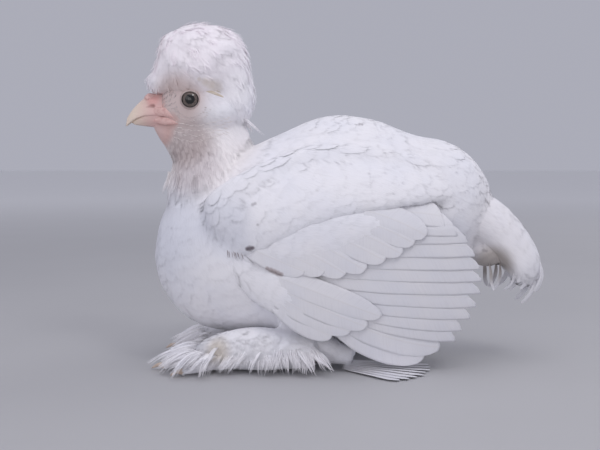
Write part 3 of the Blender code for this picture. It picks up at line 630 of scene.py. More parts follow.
# The left leg: knee, heel, the toes' root, each toe's end and how high its middle passes
KNEE, HEEL, PALM = (-34.0, -24.0, 24.0), (4.0, -29.0, 9.0), (-56.0, -30.0, 5.2)
TOE_RADIUS = 3.1
TOES = [
    ((-46.0, -13.0, 2.8), 3.2),
    ((-92.0, -16.0, 2.6), 4.2),
    ((-104.0, -31.0, 2.6), 4.4),
    ((-91.0, -48.0, 2.6), 4.2),
    ((-43.0, -14.0, 8.0), 8.5),
]
CLAW_LENGTH = 8.0
CLAW_RADII = [1.9, 1.8, 1.6, 1.35, 1.1, 0.85, 0.6, 0.3]
# Half sizes to each side and up at the start and end of thigh and shank, and the pad's radii
THIGH_HALF, SHANK_HALF = ((13.0, 13.0), (8.0, 7.0)), ((6.5, 7.5), (6.0, 5.5))
PALM_RADII = (8.0, 6.5, 5.3)
# The feathered mass over the foot: its middle line, and half sizes to each side and up
MUFF = [(-84, -27, 8), (-70, -32, 12), (-46, -36.0, 14), (-14, -36.5, 12)]
MUFF_HALF = [(5, 5), (9, 10), (10.5, 13), (6, 9)]


def body_loft(stations, inset, count=48, around=48):
    """A loft along X through upright rings, egg-shaped above and below their widest line."""
    share = np.linspace(0, 1, count)
    places = stations[0][0] + (stations[-1][0] - stations[0][0]) * (1 - np.cos(math.pi * share)) / 2
    angle = turns(around)
    rings = []
    for x, (z, rise, drop, width) in zip(places, hermite(stations, places)):
        height = np.maximum(np.where(np.cos(angle) > 0, rise, drop) - inset, 0.5)
        wide = max(width - inset, 0.5)
        upright = z + height * np.cos(angle)
        rings.append(np.column_stack([np.full(around, x), wide * np.sin(angle), upright]))
    return tube(rings)


def neck_loft(inset, count=24, around=40):
    """The neck, through level oval rings."""
    places = np.linspace(NECK[0][0], NECK[-1][0], count)
    angle = turns(around)
    rings = []
    for z, (x, length, width) in zip(places, hermite(NECK, places)):
        ahead = x + (length - inset) * np.cos(angle)
        rings.append(np.column_stack([ahead, (width - inset) * np.sin(angle), np.full(around, z)]))
    return tube(rings)


def path_tube(path, radii, around=16):
    """A tube along a path, with a half size to each side and one up at each of its points."""
    path, radii = np.array(path, float), np.array(radii, float)
    along = unit(np.gradient(path, axis=0))
    across = unit(np.cross(along, (0.0, 0.0, 1.0)))
    up = np.cross(across, along)
    angle = turns(around)
    ring = np.cos(angle)[None, :, None] * across[:, None] * radii[:, 0, None, None]
    ring = ring + np.sin(angle)[None, :, None] * up[:, None] * radii[:, 1, None, None]
    return tube(path[:, None] + ring)


def ball(centre, radii, rings=24, around=32):
    """An ellipsoid whose poles lie along Y."""
    angle = turns(around)
    polar = np.linspace(0, math.pi, rings + 2)[1:-1, None]
    centre, radii = np.array(centre, float), np.array(radii, float)
    ahead, up = np.sin(polar) * np.cos(angle), np.sin(polar) * np.sin(angle)
    ring = np.stack([ahead, -np.cos(polar) + 0 * angle, up], axis=-1)
    step = np.array([0, radii[1], 0])
    return tube(centre + ring * radii, centre - step, centre + step)


def toe_path(number, count=12):
    """A toe's middle line. The last toe points back, and leaves the foot higher up."""
    end, middle = TOES[number]
    start = np.array(PALM) + (0, 0, 2.5 if number == 4 else -1.5)
    halfway = (start + np.array(end)) / 2
    halfway[2] = middle
    return smooth_path([start, halfway, end], count)


def toe_loft(number):
    radii = np.linspace(TOE_RADIUS * 1.15, TOE_RADIUS * 0.8, 12) - 0.2
    radii = radii + 0.25 * np.sin(np.linspace(0, 6 * math.pi, 12))
    return path_tube(toe_path(number), np.column_stack([radii, radii]))


def claw_loft(number):
    path = toe_path(number)
    ahead = path[-1] - path[-2]
    ahead[2] = 0 if number < 4 else 0.6
    ahead = unit(ahead)
    base = path[-1] - ahead * 1.5
    arch = base + ahead * CLAW_LENGTH * 0.5 + (0, 0, 0.7)
    tip = base + ahead * CLAW_LENGTH + (0, 0, -1.3)
    radii = np.array(CLAW_RADII)
    line = smooth_path([base, arch, tip], len(radii))
    return path_tube(line, np.column_stack([radii * 0.8, radii]), 12)


# The wing's sheet and the arm under its feathers

# The sheet's distance from the bird's middle plane, greatest at SHEET_PEAK (x, z)
SHEET_OUT = 58.0
SHEET_PEAK = (5.0, 85.0)
SHEET_FALL = {"front": 0.0011, "rear": 0.0030, "top": 0.0108, "bottom": 0.0016, "rump": 0.0035}
COVERT_DEPTH, FLIGHT_DEPTH, ROOT_DEPTH = 3.4, 5.6, 11.0
ROOT_SHARE = 0.25
CORE_DEPTHS = (8.4, 6.0)
CORE_RIM, CORE_BACK = 6.0, 22.0
# Along the arm: x, lower edge, upper edge
WING_CORE = [
    (-74.0, 76.0, 90.0),
    (-66.0, 62.0, 99.0),
    (-50.0, 46.0, 110.0),
    (-30.0, 36.0, 123.0),
    (-8.0, 30.0, 126.0),
    (12.0, 38.0, 125.0),
    (26.0, 62.0, 121.0),
    (38.0, 88.0, 114.0),
]
# What lies under the small feathers, in the same columns: the mantle, a part of the skin, and the
# cushions of coverts and hand
MANTLE = [
    (-76.0, 80.0, 90.0),
    (-66.0, 71.0, 100.0),
    (-50.0, 72.0, 111.0),
    (-34.0, 77.0, 121.0),
    (-16.0, 86.0, 126.0),
    (6.0, 93.0, 127.0),
    (30.0, 97.0, 125.0),
    (52.0, 100.0, 122.0),
    (70.0, 102.0, 118.0),
    (84.0, 104.0, 112.0),
]
COVERTS = [
    (-58.0, 68.0, 80.0),
    (-46.0, 64.0, 86.0),
    (-28.0, 65.0, 92.0),
    (-8.0, 69.0, 98.0),
    (12.0, 75.0, 100.0),
    (28.0, 81.0, 100.0),
    (40.0, 87.0, 97.0),
]
HAND = [
    (-63.0, 62.0, 69.0),
    (-56.0, 50.0, 69.0),
    (-42.0, 39.0, 65.0),
    (-26.0, 33.0, 58.5),
    (-10.0, 29.0, 50.0),
    (6.0, 28.5, 40.0),
]
# The mantle's stations, depths, rim, back, how far its front and rear ends sink, and its rings
MANTLE_LOFT = (MANTLE, (0.8, 1.4), 3.6, 13.0, (11.0, 7.0), 40, 24)
# Each cushion in the same way as far as its ends, then its feathers' slope and lengths
CUSHIONS = {
    "coverts": (COVERTS, (2.8, 2.8), 2.4, 12.0, (3.0, 1.0), -0.1, (12, 16, 20)),
    "hand": (HAND, (3.2, 3.2), 2.8, 12.0, (4.0, 1.5), -0.5, (11, 15, 18)),
}
# Over how many millimetres the front and the rear end sink
END_REACH = (28, 45)


def sheet(x, z):
    """How far out the wing's surface stands at a place seen from the side."""
    along, up = x - SHEET_PEAK[0], z - SHEET_PEAK[1]
    fall_along = np.where(along < 0, SHEET_FALL["front"], SHEET_FALL["rear"]) * along**2
    fall_up = np.where(up > 0, SHEET_FALL["top"], SHEET_FALL["bottom"]) * up**2
    rump = SHEET_FALL["rump"] * np.maximum(along, 0) * np.maximum(up, 0)
    return SHEET_OUT - fall_along - fall_up - rump


def wing_place(points, depth):
    """Points of the left wing, from their x and z and their depth under the sheet."""
    x, z = points.T
    return np.column_stack([x, depth - sheet(x, z), z])


def arm(stations, depths, rim, back, sinks=(0.0, 0.0), count=20, across=14):
    """A closed rounded shell that follows the wing's sheet and sinks towards its ends."""
    front, rear = stations[0][0], stations[-1][0]
    places = np.linspace(front, rear, count)
    share = (1 - np.cos(math.pi * np.linspace(0, 1, across))) / 2
    rings = []
    for x, (low, high) in zip(places, hermite(stations, places)):
        fall = rim * (1 - np.sqrt(np.clip(1 - (2 * share - 1) ** 2, 0, 1)))
        end = abs(2 * (x - front) / (rear - front) - 1)
        fall = fall + rim * (1 - np.sqrt(np.clip(1 - end**6, 0, 1)))
        fall = fall + sinks[0] * ramp(-x, -front - END_REACH[0], -front)
        fall = fall + sinks[1] * ramp(x, rear - END_REACH[1], rear)
        face = np.column_stack([np.full(across, x), low + (high - low) * share])
        outer = wing_place(face, np.interp(share, (0.5, 1.0), depths) + fall)
        inner = wing_place(np.array([(x, high), (x, low)]), np.full(2, back))
        rings.append(np.vstack([outer, inner]))
    return tube(rings)


# The tail's middle line (x, z) and the radius of the half tube that its feathers lie on
TAIL_LINE = [(72, 96), (92, 84), (105, 70), (112, 57), (112.5, 47), (106, 38)]
TAIL_RADIUS = [21.0, 20.0, 19.0, 18.0, 16.5, 14.0]
# The stump inside the feathers: share of the tail's length, and how much wider than its radius
TAIL_STUMP = [(-0.1, -3.0), (0.0, -3.0), (0.15, -3.0), (0.3, -5.0), (0.42, -9.0), (0.55, -14.0)]


def tail_frame(share):
    """Middle, upward direction and radius of the tail at shares of its length."""
    stations = np.linspace(0, 1, len(TAIL_LINE))
    table = np.column_stack([stations, TAIL_LINE, TAIL_RADIUS])
    x, z, radius = hermite(table, share).T
    onward = hermite(table, np.clip(share + 0.01, 0, 1))
    ahead = unit((onward - hermite(table, np.clip(share - 0.01, 0, 1)))[:, :2])
    middle = np.column_stack([x, np.zeros(len(x)), z])
    return middle, np.column_stack([-ahead[:, 1], np.zeros(len(x)), ahead[:, 0]]), radius


def tail_tube(line, count, around, start, hangs=((0, 1), (1, 1))):
    """A closed tube along the tail, which starts a step before its root.

    line gives shares of the tail's length and how much wider the tube is than its radius there, and
    hangs gives shares and how deep its underside is beside its top.
    """
    share, more = smooth_path(line, count).T
    middle, up, radius = tail_frame(np.maximum(share, 0))
    middle[share < 0] -= start
    angle = turns(around)
    sideways = np.sin(angle)[:, None] * SIDEWAYS
    deep = np.interp(share, *np.array(hangs).T)
    rings = []
    for centre, upward, reach, hang in zip(middle, up, radius + more, deep):
        high = np.cos(angle) * np.where(np.cos(angle) > 0, 1.0, hang)
        rings.append(centre + reach * (high[:, None] * upward + sideways))
    return tube(rings)


# The soft fill between back and wing: its middle line, and half sizes to each side and up
SHOULDER = [
    (-72, -33, 86),
    (-66, -37, 92),
    (-50, -38, 103),
    (-30, -34, 112),
    (-10, -31, 118),
    (20, -29, 118),
    (50, -24, 113),
    (68, -19, 107),
]
SHOULDER_HALF = [(7, 12), (11, 16), (9.5, 16), (9, 16), (9, 16), (8, 15), (7, 13), (4, 8)]

# The throat from the bill's underside down to the neck, in the same way
THROAT = [(-111, 0, 147.5), (-104, 0, 142.5), (-97, 0, 137), (-88, 0, 126)]
THROAT_HALF = [(4, 3.2), (8, 7.2), (12, 9.6), (16, 11.4)]

# The downy swelling under the tail, the fluffy cheek and the brow under the crest: centre and radii
VENT = ((92.0, -3.0, 69.0), (13.0, 11.0, 9.5))
CHEEK = ((-70.0, -10.5, 153.5), (10.5, 8.0, 8.0))
BROW = ((-82.0, -10.5, 171.0), (13.0, 7.5, 5.5))

# The skin, one surface over trunk, neck, head, legs, arms and the tail's stump

SKIN_VOXEL, SKIN_SMOOTHING = 1.25, 9


def frozen(thing, name):
    """An object's final mesh as a plain object under a new name; the object itself goes."""
    graph = bpy.context.evaluated_depsgraph_get()
    mesh = bpy.data.meshes.new_from_object(thing.evaluated_get(graph))
    mesh.name = name
    bpy.data.objects.remove(thing)
    return placed(name, mesh)


def points_of(thing):
    """A mesh's points in millimetres, and the directions in which its surface faces there."""
    points, facing = np.empty(len(thing.data.vertices) * 3), np.empty(len(thing.data.vertices) * 3)
    thing.data.vertices.foreach_get("co", points)
    thing.data.vertex_normals.foreach_get("vector", facing)
    return points.reshape(-1, 3) / MM - ORIGIN_SHIFT, facing.reshape(-1, 3)


def fused(shape, name, material, voxel, smoothing):
    """Surfaces that overlap, run together into one smooth skin."""
    rough = shape.build("rough_" + name, material)
    remesh = rough.modifiers.new("remesh", "REMESH")
    remesh.mode = "VOXEL"
    remesh.voxel_size = voxel * MM
    smooth = rough.modifiers.new("smooth", "SMOOTH")
    smooth.factor = 0.5
    smooth.iterations = smoothing
    made = frozen(rough, name)
    made.data.shade_smooth()
    return made


def make_skin(material):
    """The body's skin, with the limbs of both sides."""
    shape = Shape()
    shape.add(body_loft(TRUNK, COAT_DEPTH["trunk"]))
    shape.add(neck_loft(COAT_DEPTH["neck"]))
    shape.add(body_loft(HEAD, COAT_DEPTH["head"]))
    shape.add(tail_tube(TAIL_STUMP, 12, 28, (6.0, 0, -3.0)))
    shape.add(path_tube(smooth_path(THROAT, 16), smooth_path(THROAT_HALF, 16), 24))
    leg = COAT_DEPTH["leg"]
    thigh = smooth_path([KNEE, (-16.0, -27.0, 18.0), (0.0, -28.5, 10.0)], 14)
    shank = smooth_path([(HEEL[0] + 5, HEEL[1], 8.0), HEEL, (-26.0, -30.0, 9.5), PALM], 18)
    sided = [
        arm(WING_CORE, CORE_DEPTHS, CORE_RIM, CORE_BACK),
        path_tube(thigh, np.linspace(*THIGH_HALF, 14) - leg, 24),
        path_tube(shank, np.linspace(*SHANK_HALF, 18) - leg),
        path_tube(smooth_path(MUFF, 14), smooth_path(MUFF_HALF, 14)),
        ball(PALM, PALM_RADII),
        path_tube(smooth_path(SHOULDER, 30), smooth_path(SHOULDER_HALF, 30), 24),
        arm(*MANTLE_LOFT),
        ball(*VENT),
        ball(*CHEEK),
        ball(*BROW),
    ]
    for part in sided + [toe_loft(number) for number in range(len(TOES))]:
        shape.add(part)
        shape.add(mirrored(part))
    return fused(shape, "skin", material, SKIN_VOXEL, SKIN_SMOOTHING)


# The coat's lie: a place on the left side, the way that feathers point there, and their length
GUIDES = [
    ((-108, 0, 172), (0.4, 0, 1.0), 4),
    ((-103, -9, 158), (1.0, -0.2, 0.1), 2.6),
    ((-98, -14, 168), (1.0, -0.1, 0.5), 3.5),
    ((-90, -16, 150), (1.0, 0, -0.25), 4),
    ((-72, -17, 158), (1.0, 0, -0.3), 7),
    ((-72, -17, 150), (0.8, 0, -0.6), 6),
    ((-108, -4, 146), (0.6, 0, -1.0), 3),
    ((-98, -8, 138), (0.4, 0, -1.0), 6),
    ((-84, -14, 140), (0.35, 0, -1.0), 7),
    ((-56, 0, 155), (0.4, 0, -1.0), 10),
    ((-78, -20, 127), (0.1, 0, -1.0), 10),
    ((-104, 0, 122), (-0.1, 0, -1.0), 10),
    ((-52, 0, 125), (0.7, 0, -1.0), 13),
    ((-80, -30, 103), (0.15, -0.1, -1.0), 14),
    ((-100, -15, 100), (0.0, 0, -1.0), 14),
    ((-108, 0, 75), (0.2, 0, -1.0), 17),
    ((-85, -38, 70), (0.5, 0, -1.0), 17),
    ((-92, 0, 35), (0.8, 0, -0.6), 15),
    ((-30, 0, 15), (1.0, 0, 0.0), 14),
    ((40, 0, 22), (1.0, 0, 0.4), 16),
    ((-60, -42, 100), (1.0, 0, -0.7), 14),
    ((-40, 0, 138), (1.0, 0, 0.25), 15),
    ((0, 0, 152), (1.0, 0, -0.05), 19),
    ((0, -35, 125), (1.0, 0, -0.35), 19),
    ((45, 0, 140), (1.0, 0, -0.35), 19),
    ((80, 0, 120), (1.0, 0, -0.8), 18),
    ((70, -28, 95), (1.0, 0, -0.5), 17),
    ((30, -42, 70), (1.0, 0, -0.3), 16),
    ((95, 0, 75), (0.6, 0, -1.0), 16),
    ((-30, -48, 60), (1.0, 0, -0.5), 12),
    ((-20, -38, 30), (0.4, -0.1, -1.0), 12),
]


def guided(points):
    """The lie and length of the coat at each point, from the guides near it."""
    places, ways, lengths = (np.array(column, float) for column in zip(*GUIDES))
    flip = np.where(points[:, 1:2] > 0, (1.0, -1.0, 1.0), (1.0, 1.0, 1.0))
    away = np.linalg.norm((points * flip)[:, None] - places[None], axis=2)
    weight = 1 / (away + 4.0) ** 4
    weight /= weight.sum(axis=1, keepdims=True)
    return (weight @ unit(ways)) * flip, weight @ lengths


def beyond_trunk(points, inset):
    """1 on the trunk's skin, and more the further out from it."""
    x, y, z = points.T
    middle, rise, drop, width = hermite(TRUNK, np.clip(x, TRUNK[1][0], TRUNK[-2][0])).T
    up = z - middle
    height = np.where(up > 0, rise, drop) - inset
    return np.sqrt((y / (width - inset)) ** 2 + (up / height) ** 2)


# The margin kept free at the edges of a bake map
MAP_EDGE = (0.004, 0.996)
# The tiles of the bird's bake map: left and lower edge, and size
TRUNK_TILE, HEAD_TILE, LEG_TILE = (0.36, 0.36, 0.6), (0.03, 0.03, 0.3), (0.03, 0.65, 0.3)


def on_tile(tile, across, width, up, height):
    """Places on a tile of the map, from measures across and up it and their full spans."""
    left, low, size = tile
    return np.column_stack([left + size * across / width, low + size * up / height])


def unwrapped(points):
    """Each point's place on one flat map of the bird: trunk, head with neck, and legs."""
    x, y, z = points.T
    round_trunk = np.arctan2(y, z - 75) / math.tau + 0.5
    round_head = np.arctan2(y, -(x + 80)) / math.tau + 0.5
    trunk = on_tile(TRUNK_TILE, x + 118, 256, round_trunk, 1)
    head = on_tile(HEAD_TILE, round_head, 1, z - 98, 112)
    legs = on_tile(LEG_TILE, x + 115, 200, y + 65, 130)
    on_head = (z > 104) & (x < -44) & (np.hypot(x + 79, y) < 38)
    on_leg = (z < 26) & (np.abs(y) > 8) & (beyond_trunk(points, COAT_DEPTH["trunk"]) > 1.05)
    places = np.where(on_head[:, None], head, np.where(on_leg[:, None], legs, trunk))
    return np.clip(places, *MAP_EDGE)


# Where the coat's regions fade into each other: heights in z, and distances forwards from x = 0
HEAD_FROM, HEAD_AHEAD = (127, 135), (44, 50)
NECK_FROM, NECK_AHEAD = (98, 106), (44, 52)
THROAT_FROM, THROAT_TO, THROAT_AHEAD = (108, 116), (147, 141), (58, 66)
BREAST_AHEAD, BILL_AHEAD, BACK_FROM = (38, 52), (102, 106), (80, 97)
FOOT_TO, FOOT_AHEAD, SOLE_FROM = (26, 22), (-14, -8), (2.5, 5)
# The bare stretch under the folded wing: between which x, from which height and how far out
WING_AHEAD, WING_BEHIND, WING_FROM, WING_ASIDE = (60, 48), (-74, -62), (18, 26), (18, 26)
# The x of the neck's middle with the reach of its feathers, and the bare face: x, z and half sizes
NECK_MIDDLE, NECK_REACH = -79, (38, 33)
BARE_FACE = (-94, 158, 16, 12)


def coat_regions(points):
    """How thickly each region's feathers grow at each point of the skin, from 0 to 1."""
    x, y, z = points.T
    near_neck = ramp(np.hypot(x - NECK_MIDDLE, y), *NECK_REACH)
    head = ramp(z, *HEAD_FROM) * ramp(-x, *HEAD_AHEAD)
    neck = (1 - head) * ramp(z, *NECK_FROM) * ramp(-x, *NECK_AHEAD) * near_neck
    off_trunk = ramp(beyond_trunk(points, COAT_DEPTH["trunk"]), 1.04, 1.10)
    foot = off_trunk * ramp(z, *FOOT_TO) * ramp(-x, *FOOT_AHEAD)
    wing_top = np.interp(x, *np.array(MANTLE)[:, :2].T)
    under_wing = ramp(-x, *WING_AHEAD) * ramp(-x, *WING_BEHIND) * ramp(np.abs(y), *WING_ASIDE)
    under_wing = under_wing * ramp(wing_top - z, -4, 4) * ramp(z, *WING_FROM)
    middle_x, middle_z, half_long, half_high = BARE_FACE
    bare = ramp(np.hypot((x - middle_x) / half_long, (z - middle_z) / half_high), 1.2, 0.85)
    bill = ramp(-x, *BILL_AHEAD)
    body = (1 - head) * (1 - neck) * (1 - foot) * (1 - under_wing)
    front = ramp(-x + 4 * np.sin(z * 0.31), *BREAST_AHEAD)
    above = ramp(z + 4 * np.sin(x * 0.27), *BACK_FROM)
    throat = ramp(z, *THROAT_FROM) * ramp(z, *THROAT_TO) * ramp(-x, *THROAT_AHEAD)
    return {
        "breast": body * front,
        "back": body * (1 - front) * above,
        "belly": body * (1 - front) * (1 - above),
        "neck": neck,
        "face": head * (1 - bare) * (1 - bill),
        "throat": throat * near_neck * (1 - bill),
        "foot": foot * ramp(z, *SOLE_FROM),
    }


# How long the feathers on the feet are
FOOT_LENGTH = 8.0


def foot_lie(points):
    """Feathers on the feet spread outwards and down from the toes' root."""
    away = points - np.array(PALM) * np.where(points[:, 1:2] > 0, (1, -1, 1), (1, 1, 1))
    away[:, 2] = 0
    return unit(away) + np.array([0.0, 0.0, -0.45])


def dress(skin):
    """Stores on the skin what its coat is made from."""
    points, facing = points_of(skin)
    way, length = guided(points)
    regions = coat_regions(points)
    feet = regions["foot"][:, None]
    way = way * (1 - feet) + foot_lie(points) * feet
    length = length * (1 - feet[:, 0]) + FOOT_LENGTH * feet[:, 0]
    store_coat(skin, facing, way, length, unwrapped(points), regions)


# The coat: tufts set over a surface, each lying along it

# The side of a feather's patch on the bake map
TUFT_PATCH = 0.003
# How many roots are tried on a square of one spacing, and how lengths and widths vary
FEATHER_CROWD = 3.0
LENGTH_RANGE, WIDTH_RANGE = (0.75, 1.15), (0.8, 1.2)
# The least x, y and z of the feathers' points in metres, so that none goes below the floor
LOWEST = (-1.0, -1.0, 0.0003)
# What the finish and the mesh itself need of a grown coat
KEPT_VALUES = {"position", "along", "across", "chance", "body_way", "OFBake", "material_index"}
KEPT_VALUES |= {".edge_verts", ".corner_vert", ".corner_edge", "sharp_face"}
# The inputs of the coat's tree, with the kinds of their sockets
COAT_SIZES = ("Spacing", "Stretch", "Width", "Splay", "Base", "Lift", "Cling", "Stray", "Thickness")
COAT_INPUTS = [("Skin", "Geometry"), ("Region", "String"), ("Feather", "Object")]
COAT_INPUTS += [(name, "Float") for name in COAT_SIZES]
COAT_INPUTS += [("Seed", "Int"), ("Finish", "Material")]


def add_strand(shape, surface, rise, number):
    """Adds a flat part of a feather, with the values that the coat's tree and finish need."""
    points = surface[0]
    spot = np.column_stack([points[:, 0], points[:, 1] - 0.5, np.zeros(len(points))])
    shape.add(surface, along=points[:, 1], across=points[:, 0], rise=rise, strand=number, spot=spot)


def tuft(name, strands, stations, spread, seed):
    """A tuft one unit long and wide, of flat tapering strands that fan out from its root."""
    random = np.random.default_rng(seed)
    shape = Shape()
    for number, offset in enumerate(np.linspace(-0.5, 0.5, strands)):
        along = np.array(stations) * (1 - 0.3 * (2 * offset) ** 2) * random.uniform(0.85, 1.0)
        middle = offset * (1 - spread + spread * along**0.8) + random.uniform(-0.06, 0.06) * along
        half = 0.75 / strands * (1 - 0.55 * np.array(stations))
        left, right = middle - half, middle + half
        edges = [np.column_stack([edge, along, 0 * along]) for edge in (left, right, middle)]
        tip = np.array([middle[-1] + 0.5 * (middle[-1] - middle[-2]), along[-1] + 0.22, 0.0])
        surface = tube(np.stack(edges, axis=1), last=tip)
        rise = np.append(np.tile([0.0, 0.0, 1.0], len(along)), [0.3, 0.0])
        add_strand(shape, surface, rise, float(number))
    return shape.build(name, None, 1.0, 0.0)


# How high the corners, root and tip of a loose barb lie, in thicknesses of the feather
BARB_RISE = [-1.2, -1.2, -0.6, -1.0, -1.0]
BARB_HALF = 0.032


def contour(name, count, fray, seed):
    """A body feather one unit long and wide, whose edges sink, with loose barbs round its tip."""
    random = np.random.default_rng(seed)
    wide = np.array([-1.0, -0.62, 0.0, 0.62, 1.0])
    share = np.array([0.0, 0.4, 0.8, 0.93, 1.0])[:, None]
    half = 0.5 * np.interp(share, (0, 0.4, 0.8, 1), (0.5, 1.0, 1.0, 0.85))
    along = share * (1.0 - 0.5 * fray - 0.3 * np.abs(wide) ** 2.4)
    rise = np.interp(share, (0, 0.8, 0.93, 1.0), (1.0, 0.6, 0.0, -1.6)) - 2.2 * np.abs(wide) ** 3
    top = np.stack([wide * half, along, rise], axis=-1)
    low = top * (1, 1, 0) - (0, 0, 4.5)
    flat = np.array([1, 1, 0.00001])
    rises = np.concatenate([top, low[:, ::-1]], axis=1)[..., 2].ravel()
    shape = Shape()
    add_strand(shape, thin_solid(top * flat, low * flat), rises, 0.5)
    for number, offset in enumerate(np.linspace(-0.8, 0.8, count)):
        edge = 1.0 - 0.5 * fray - 0.3 * abs(offset) ** 2.4
        start, end = edge - 0.2, edge + fray * random.uniform(0.3, 1.1)
        middle = 0.44 * offset
        ring = np.array([(middle + step, start, 0) for step in (-BARB_HALF, BARB_HALF, 0)])
        tip = np.array([0.52 * offset + random.uniform(-0.05, 0.05), end, 0.0])
        add_strand(shape, tube(ring[None], ring[2], tip), BARB_RISE, float(number))
    return shape.build(name, None, 1.0, 0.0)


class CoatTree:
    """The node tree that sets feathers on a region of a surface, bent along it."""

    def __init__(self):
        self.tree = bpy.data.node_groups.new("coat", "GeometryNodeTree")
        self.sockets = {}
        face = self.tree.interface
        for name, kind in COAT_INPUTS:
            socket = face.new_socket(name, in_out="INPUT", socket_type="NodeSocket" + kind)
            self.sockets[name] = socket.identifier
        face.new_socket("Coat", in_out="OUTPUT", socket_type="NodeSocketGeometry")
        self.net = Net(self.tree)
        entry = self.tree.nodes.new("NodeGroupInput")
        self.given = {name: Wire(self.net, entry.outputs[name]) for name, _ in COAT_INPUTS}
        finished = {"Geometry": self.laid(self.tufts()), "Material": self.given["Finish"]}
        tufts = self.net.add("GeometryNodeSetMaterial", sockets=finished)
        leave = self.tree.nodes.new("NodeGroupOutput")
        self.tree.links.new(tufts.socket, leave.inputs[0])

    def stored(self, name, kind="FLOAT_VECTOR"):
        return self.net.add("GeometryNodeInputNamedAttribute", {"data_type": kind}, {"Name": name})

    def store(self, geometry, name, value, kind, domain="POINT"):
        settings = {"data_type": kind, "domain": domain}
        sockets = {"Geometry": geometry, "Name": name, "Value": value}
        return self.net.add("GeometryNodeStoreNamedAttribute", settings, sockets)

    def random(self, low, high, more):
        sockets = {2: low, 3: high, "Seed": self.given["Seed"] + more}
        return self.net.add("FunctionNodeRandomValue", {"data_type": "FLOAT"}, sockets, out=1)

    def under(self, value, here):
        """A value of the skin where it is nearest."""
        kind = {"data_type": "FLOAT_VECTOR"}
        sockets = {"Mesh": self.given["Skin"], "Value": value, "Sample Position": here}
        return self.net.add("GeometryNodeSampleNearestSurface", kind, sockets)

    def roots(self):
        """Points where the feathers grow, each with a random share."""
        spacing = self.given["Spacing"]
        sockets = {
            "Mesh": self.given["Skin"],
            "Distance Min": spacing,
            "Density Max": FEATHER_CROWD / (spacing * spacing),
            "Density Factor": self.stored(self.given["Region"], "FLOAT"),
            "Seed": self.given["Seed"],
        }
        settings = {"distribute_method": "POISSON"}
        points = self.net.add("GeometryNodeDistributePointsOnFaces", settings, sockets)
        return self.store(points, "chance", self.random(0.0, 1.0, 1), "FLOAT")

    def tufts(self):
        """The feathers at their roots, turned along the lie and scaled."""
        net, given = self.net, self.given
        axes = {"primary_axis": "Z", "secondary_axis": "Y"}
        ways = {0: self.stored("facing"), 1: self.stored("lie")}
        upright = net.add("FunctionNodeAxesToRotation", axes, ways)
        splay = {"Axis": (0.0, 0.0, 1.0), "Angle": self.random(-1.0, 1.0, 2) * given["Splay"]}
        turned = net.add("FunctionNodeAxisAngleToRotation", sockets=splay)
        both = {0: upright, 1: turned}
        rotation = net.add("FunctionNodeRotateRotation", {"rotation_space": "LOCAL"}, both)
        length = self.stored("length", "FLOAT") * given["Stretch"] * self.random(*LENGTH_RANGE, 3)
        width = given["Width"] * self.random(*WIDTH_RANGE, 4)
        scale = net.add("ShaderNodeCombineXYZ", sockets={0: width, 1: length, 2: 1.0})
        chosen = {"Object": given["Feather"]}
        feather = net.add("GeometryNodeObjectInfo", sockets=chosen, out="Geometry")
        sockets = {"Points": self.roots(), "Instance": feather}
        sockets.update({"Rotation": rotation, "Scale": scale})
        tufts = net.add("GeometryNodeInstanceOnPoints", sockets=sockets)
        return net.add("GeometryNodeRealizeInstances", sockets={0: tufts})

    def laid(self, tufts):
        """The tufts bent along the skin, lifted towards their tips and swayed apart."""
        net, given = self.net, self.given
        along, chance = self.stored("along", "FLOAT"), self.stored("chance", "FLOAT")
        height = given["Base"] + self.stored("rise", "FLOAT") * given["Thickness"]
        lift = given["Lift"] * self.stored("length", "FLOAT") * (along**1.4)
        height = height + lift * (0.9 + 0.2 * chance)
        here = net.add("GeometryNodeInputPosition")
        facing = net.vector("NORMALIZE", self.under(self.stored("facing"), here))
        lying = net.vector("ADD", self.under(here, here), net.scaled(facing, height))
        free = net.vector("ADD", here, net.scaled(self.stored("facing"), height))
        lying = net.scaled(lying, given["Cling"])
        lying = net.vector("ADD", lying, net.scaled(free, 1.0 - given["Cling"]))
        strand = {"W": self.stored("strand", "FLOAT") + chance * CHANCE_STEP}
        sway = net.add("ShaderNodeTexWhiteNoise", {"noise_dimensions": "1D"}, strand, out="Color")
        sway = net.vector("CROSS_PRODUCT", net.vector("SUBTRACT", sway, (0.5, 0.5, 0.5)), facing)
        sway = net.scaled(sway, given["Stray"] * (along**2.0))
        tufts = self.store(tufts, "body_way", facing, "FLOAT_VECTOR")
        place = net.vector("MAXIMUM", net.vector("ADD", lying, sway), LOWEST)
        tufts = net.add("GeometryNodeSetPosition", sockets={"Geometry": tufts, "Position": place})
        patch = net.scaled(self.stored("spot"), TUFT_PATCH)
        patch = net.vector("ADD", self.stored("root_place"), patch)
        return self.store(tufts, "OFBake", patch, "FLOAT2", "CORNER")

    def grow(self, base, name, **values):
        """A plain mesh of the feathers that the tree sets on a base."""
        carrier = base.copy()
        carrier.data = base.data.copy()
        bpy.context.scene.collection.objects.link(carrier)
        modifier = carrier.modifiers.new("coat", "NODES")
        modifier.node_group = self.tree
        for key, value in values.items():
            modifier[self.sockets[key]] = value
        made = frozen(carrier, name)
        for attribute in [a.name for a in made.data.attributes if a.name not in KEPT_VALUES]:
            made.data.attributes.remove(made.data.attributes[attribute])
        made.data.shade_flat()
        return made


# Single feathers: thin closed blades, and locks of loose barbs

# How thick the wings' feathers and the loose ones are, and how far their edges fray
VANE_THICK, VANE_FRAY = 0.45, 0.02
LOCK_THICK, LOCK_FRAY = 0.35, 0.04
# Points along and across a blade, and its half width along its length as a share of the greatest
BLADE_MESH = (30, 13)
BASE_SHAPE = [(0.0, 0.4), (0.18, 0.8), (0.5, 1.0), (0.85, 1.0), (1.0, 0.88)]


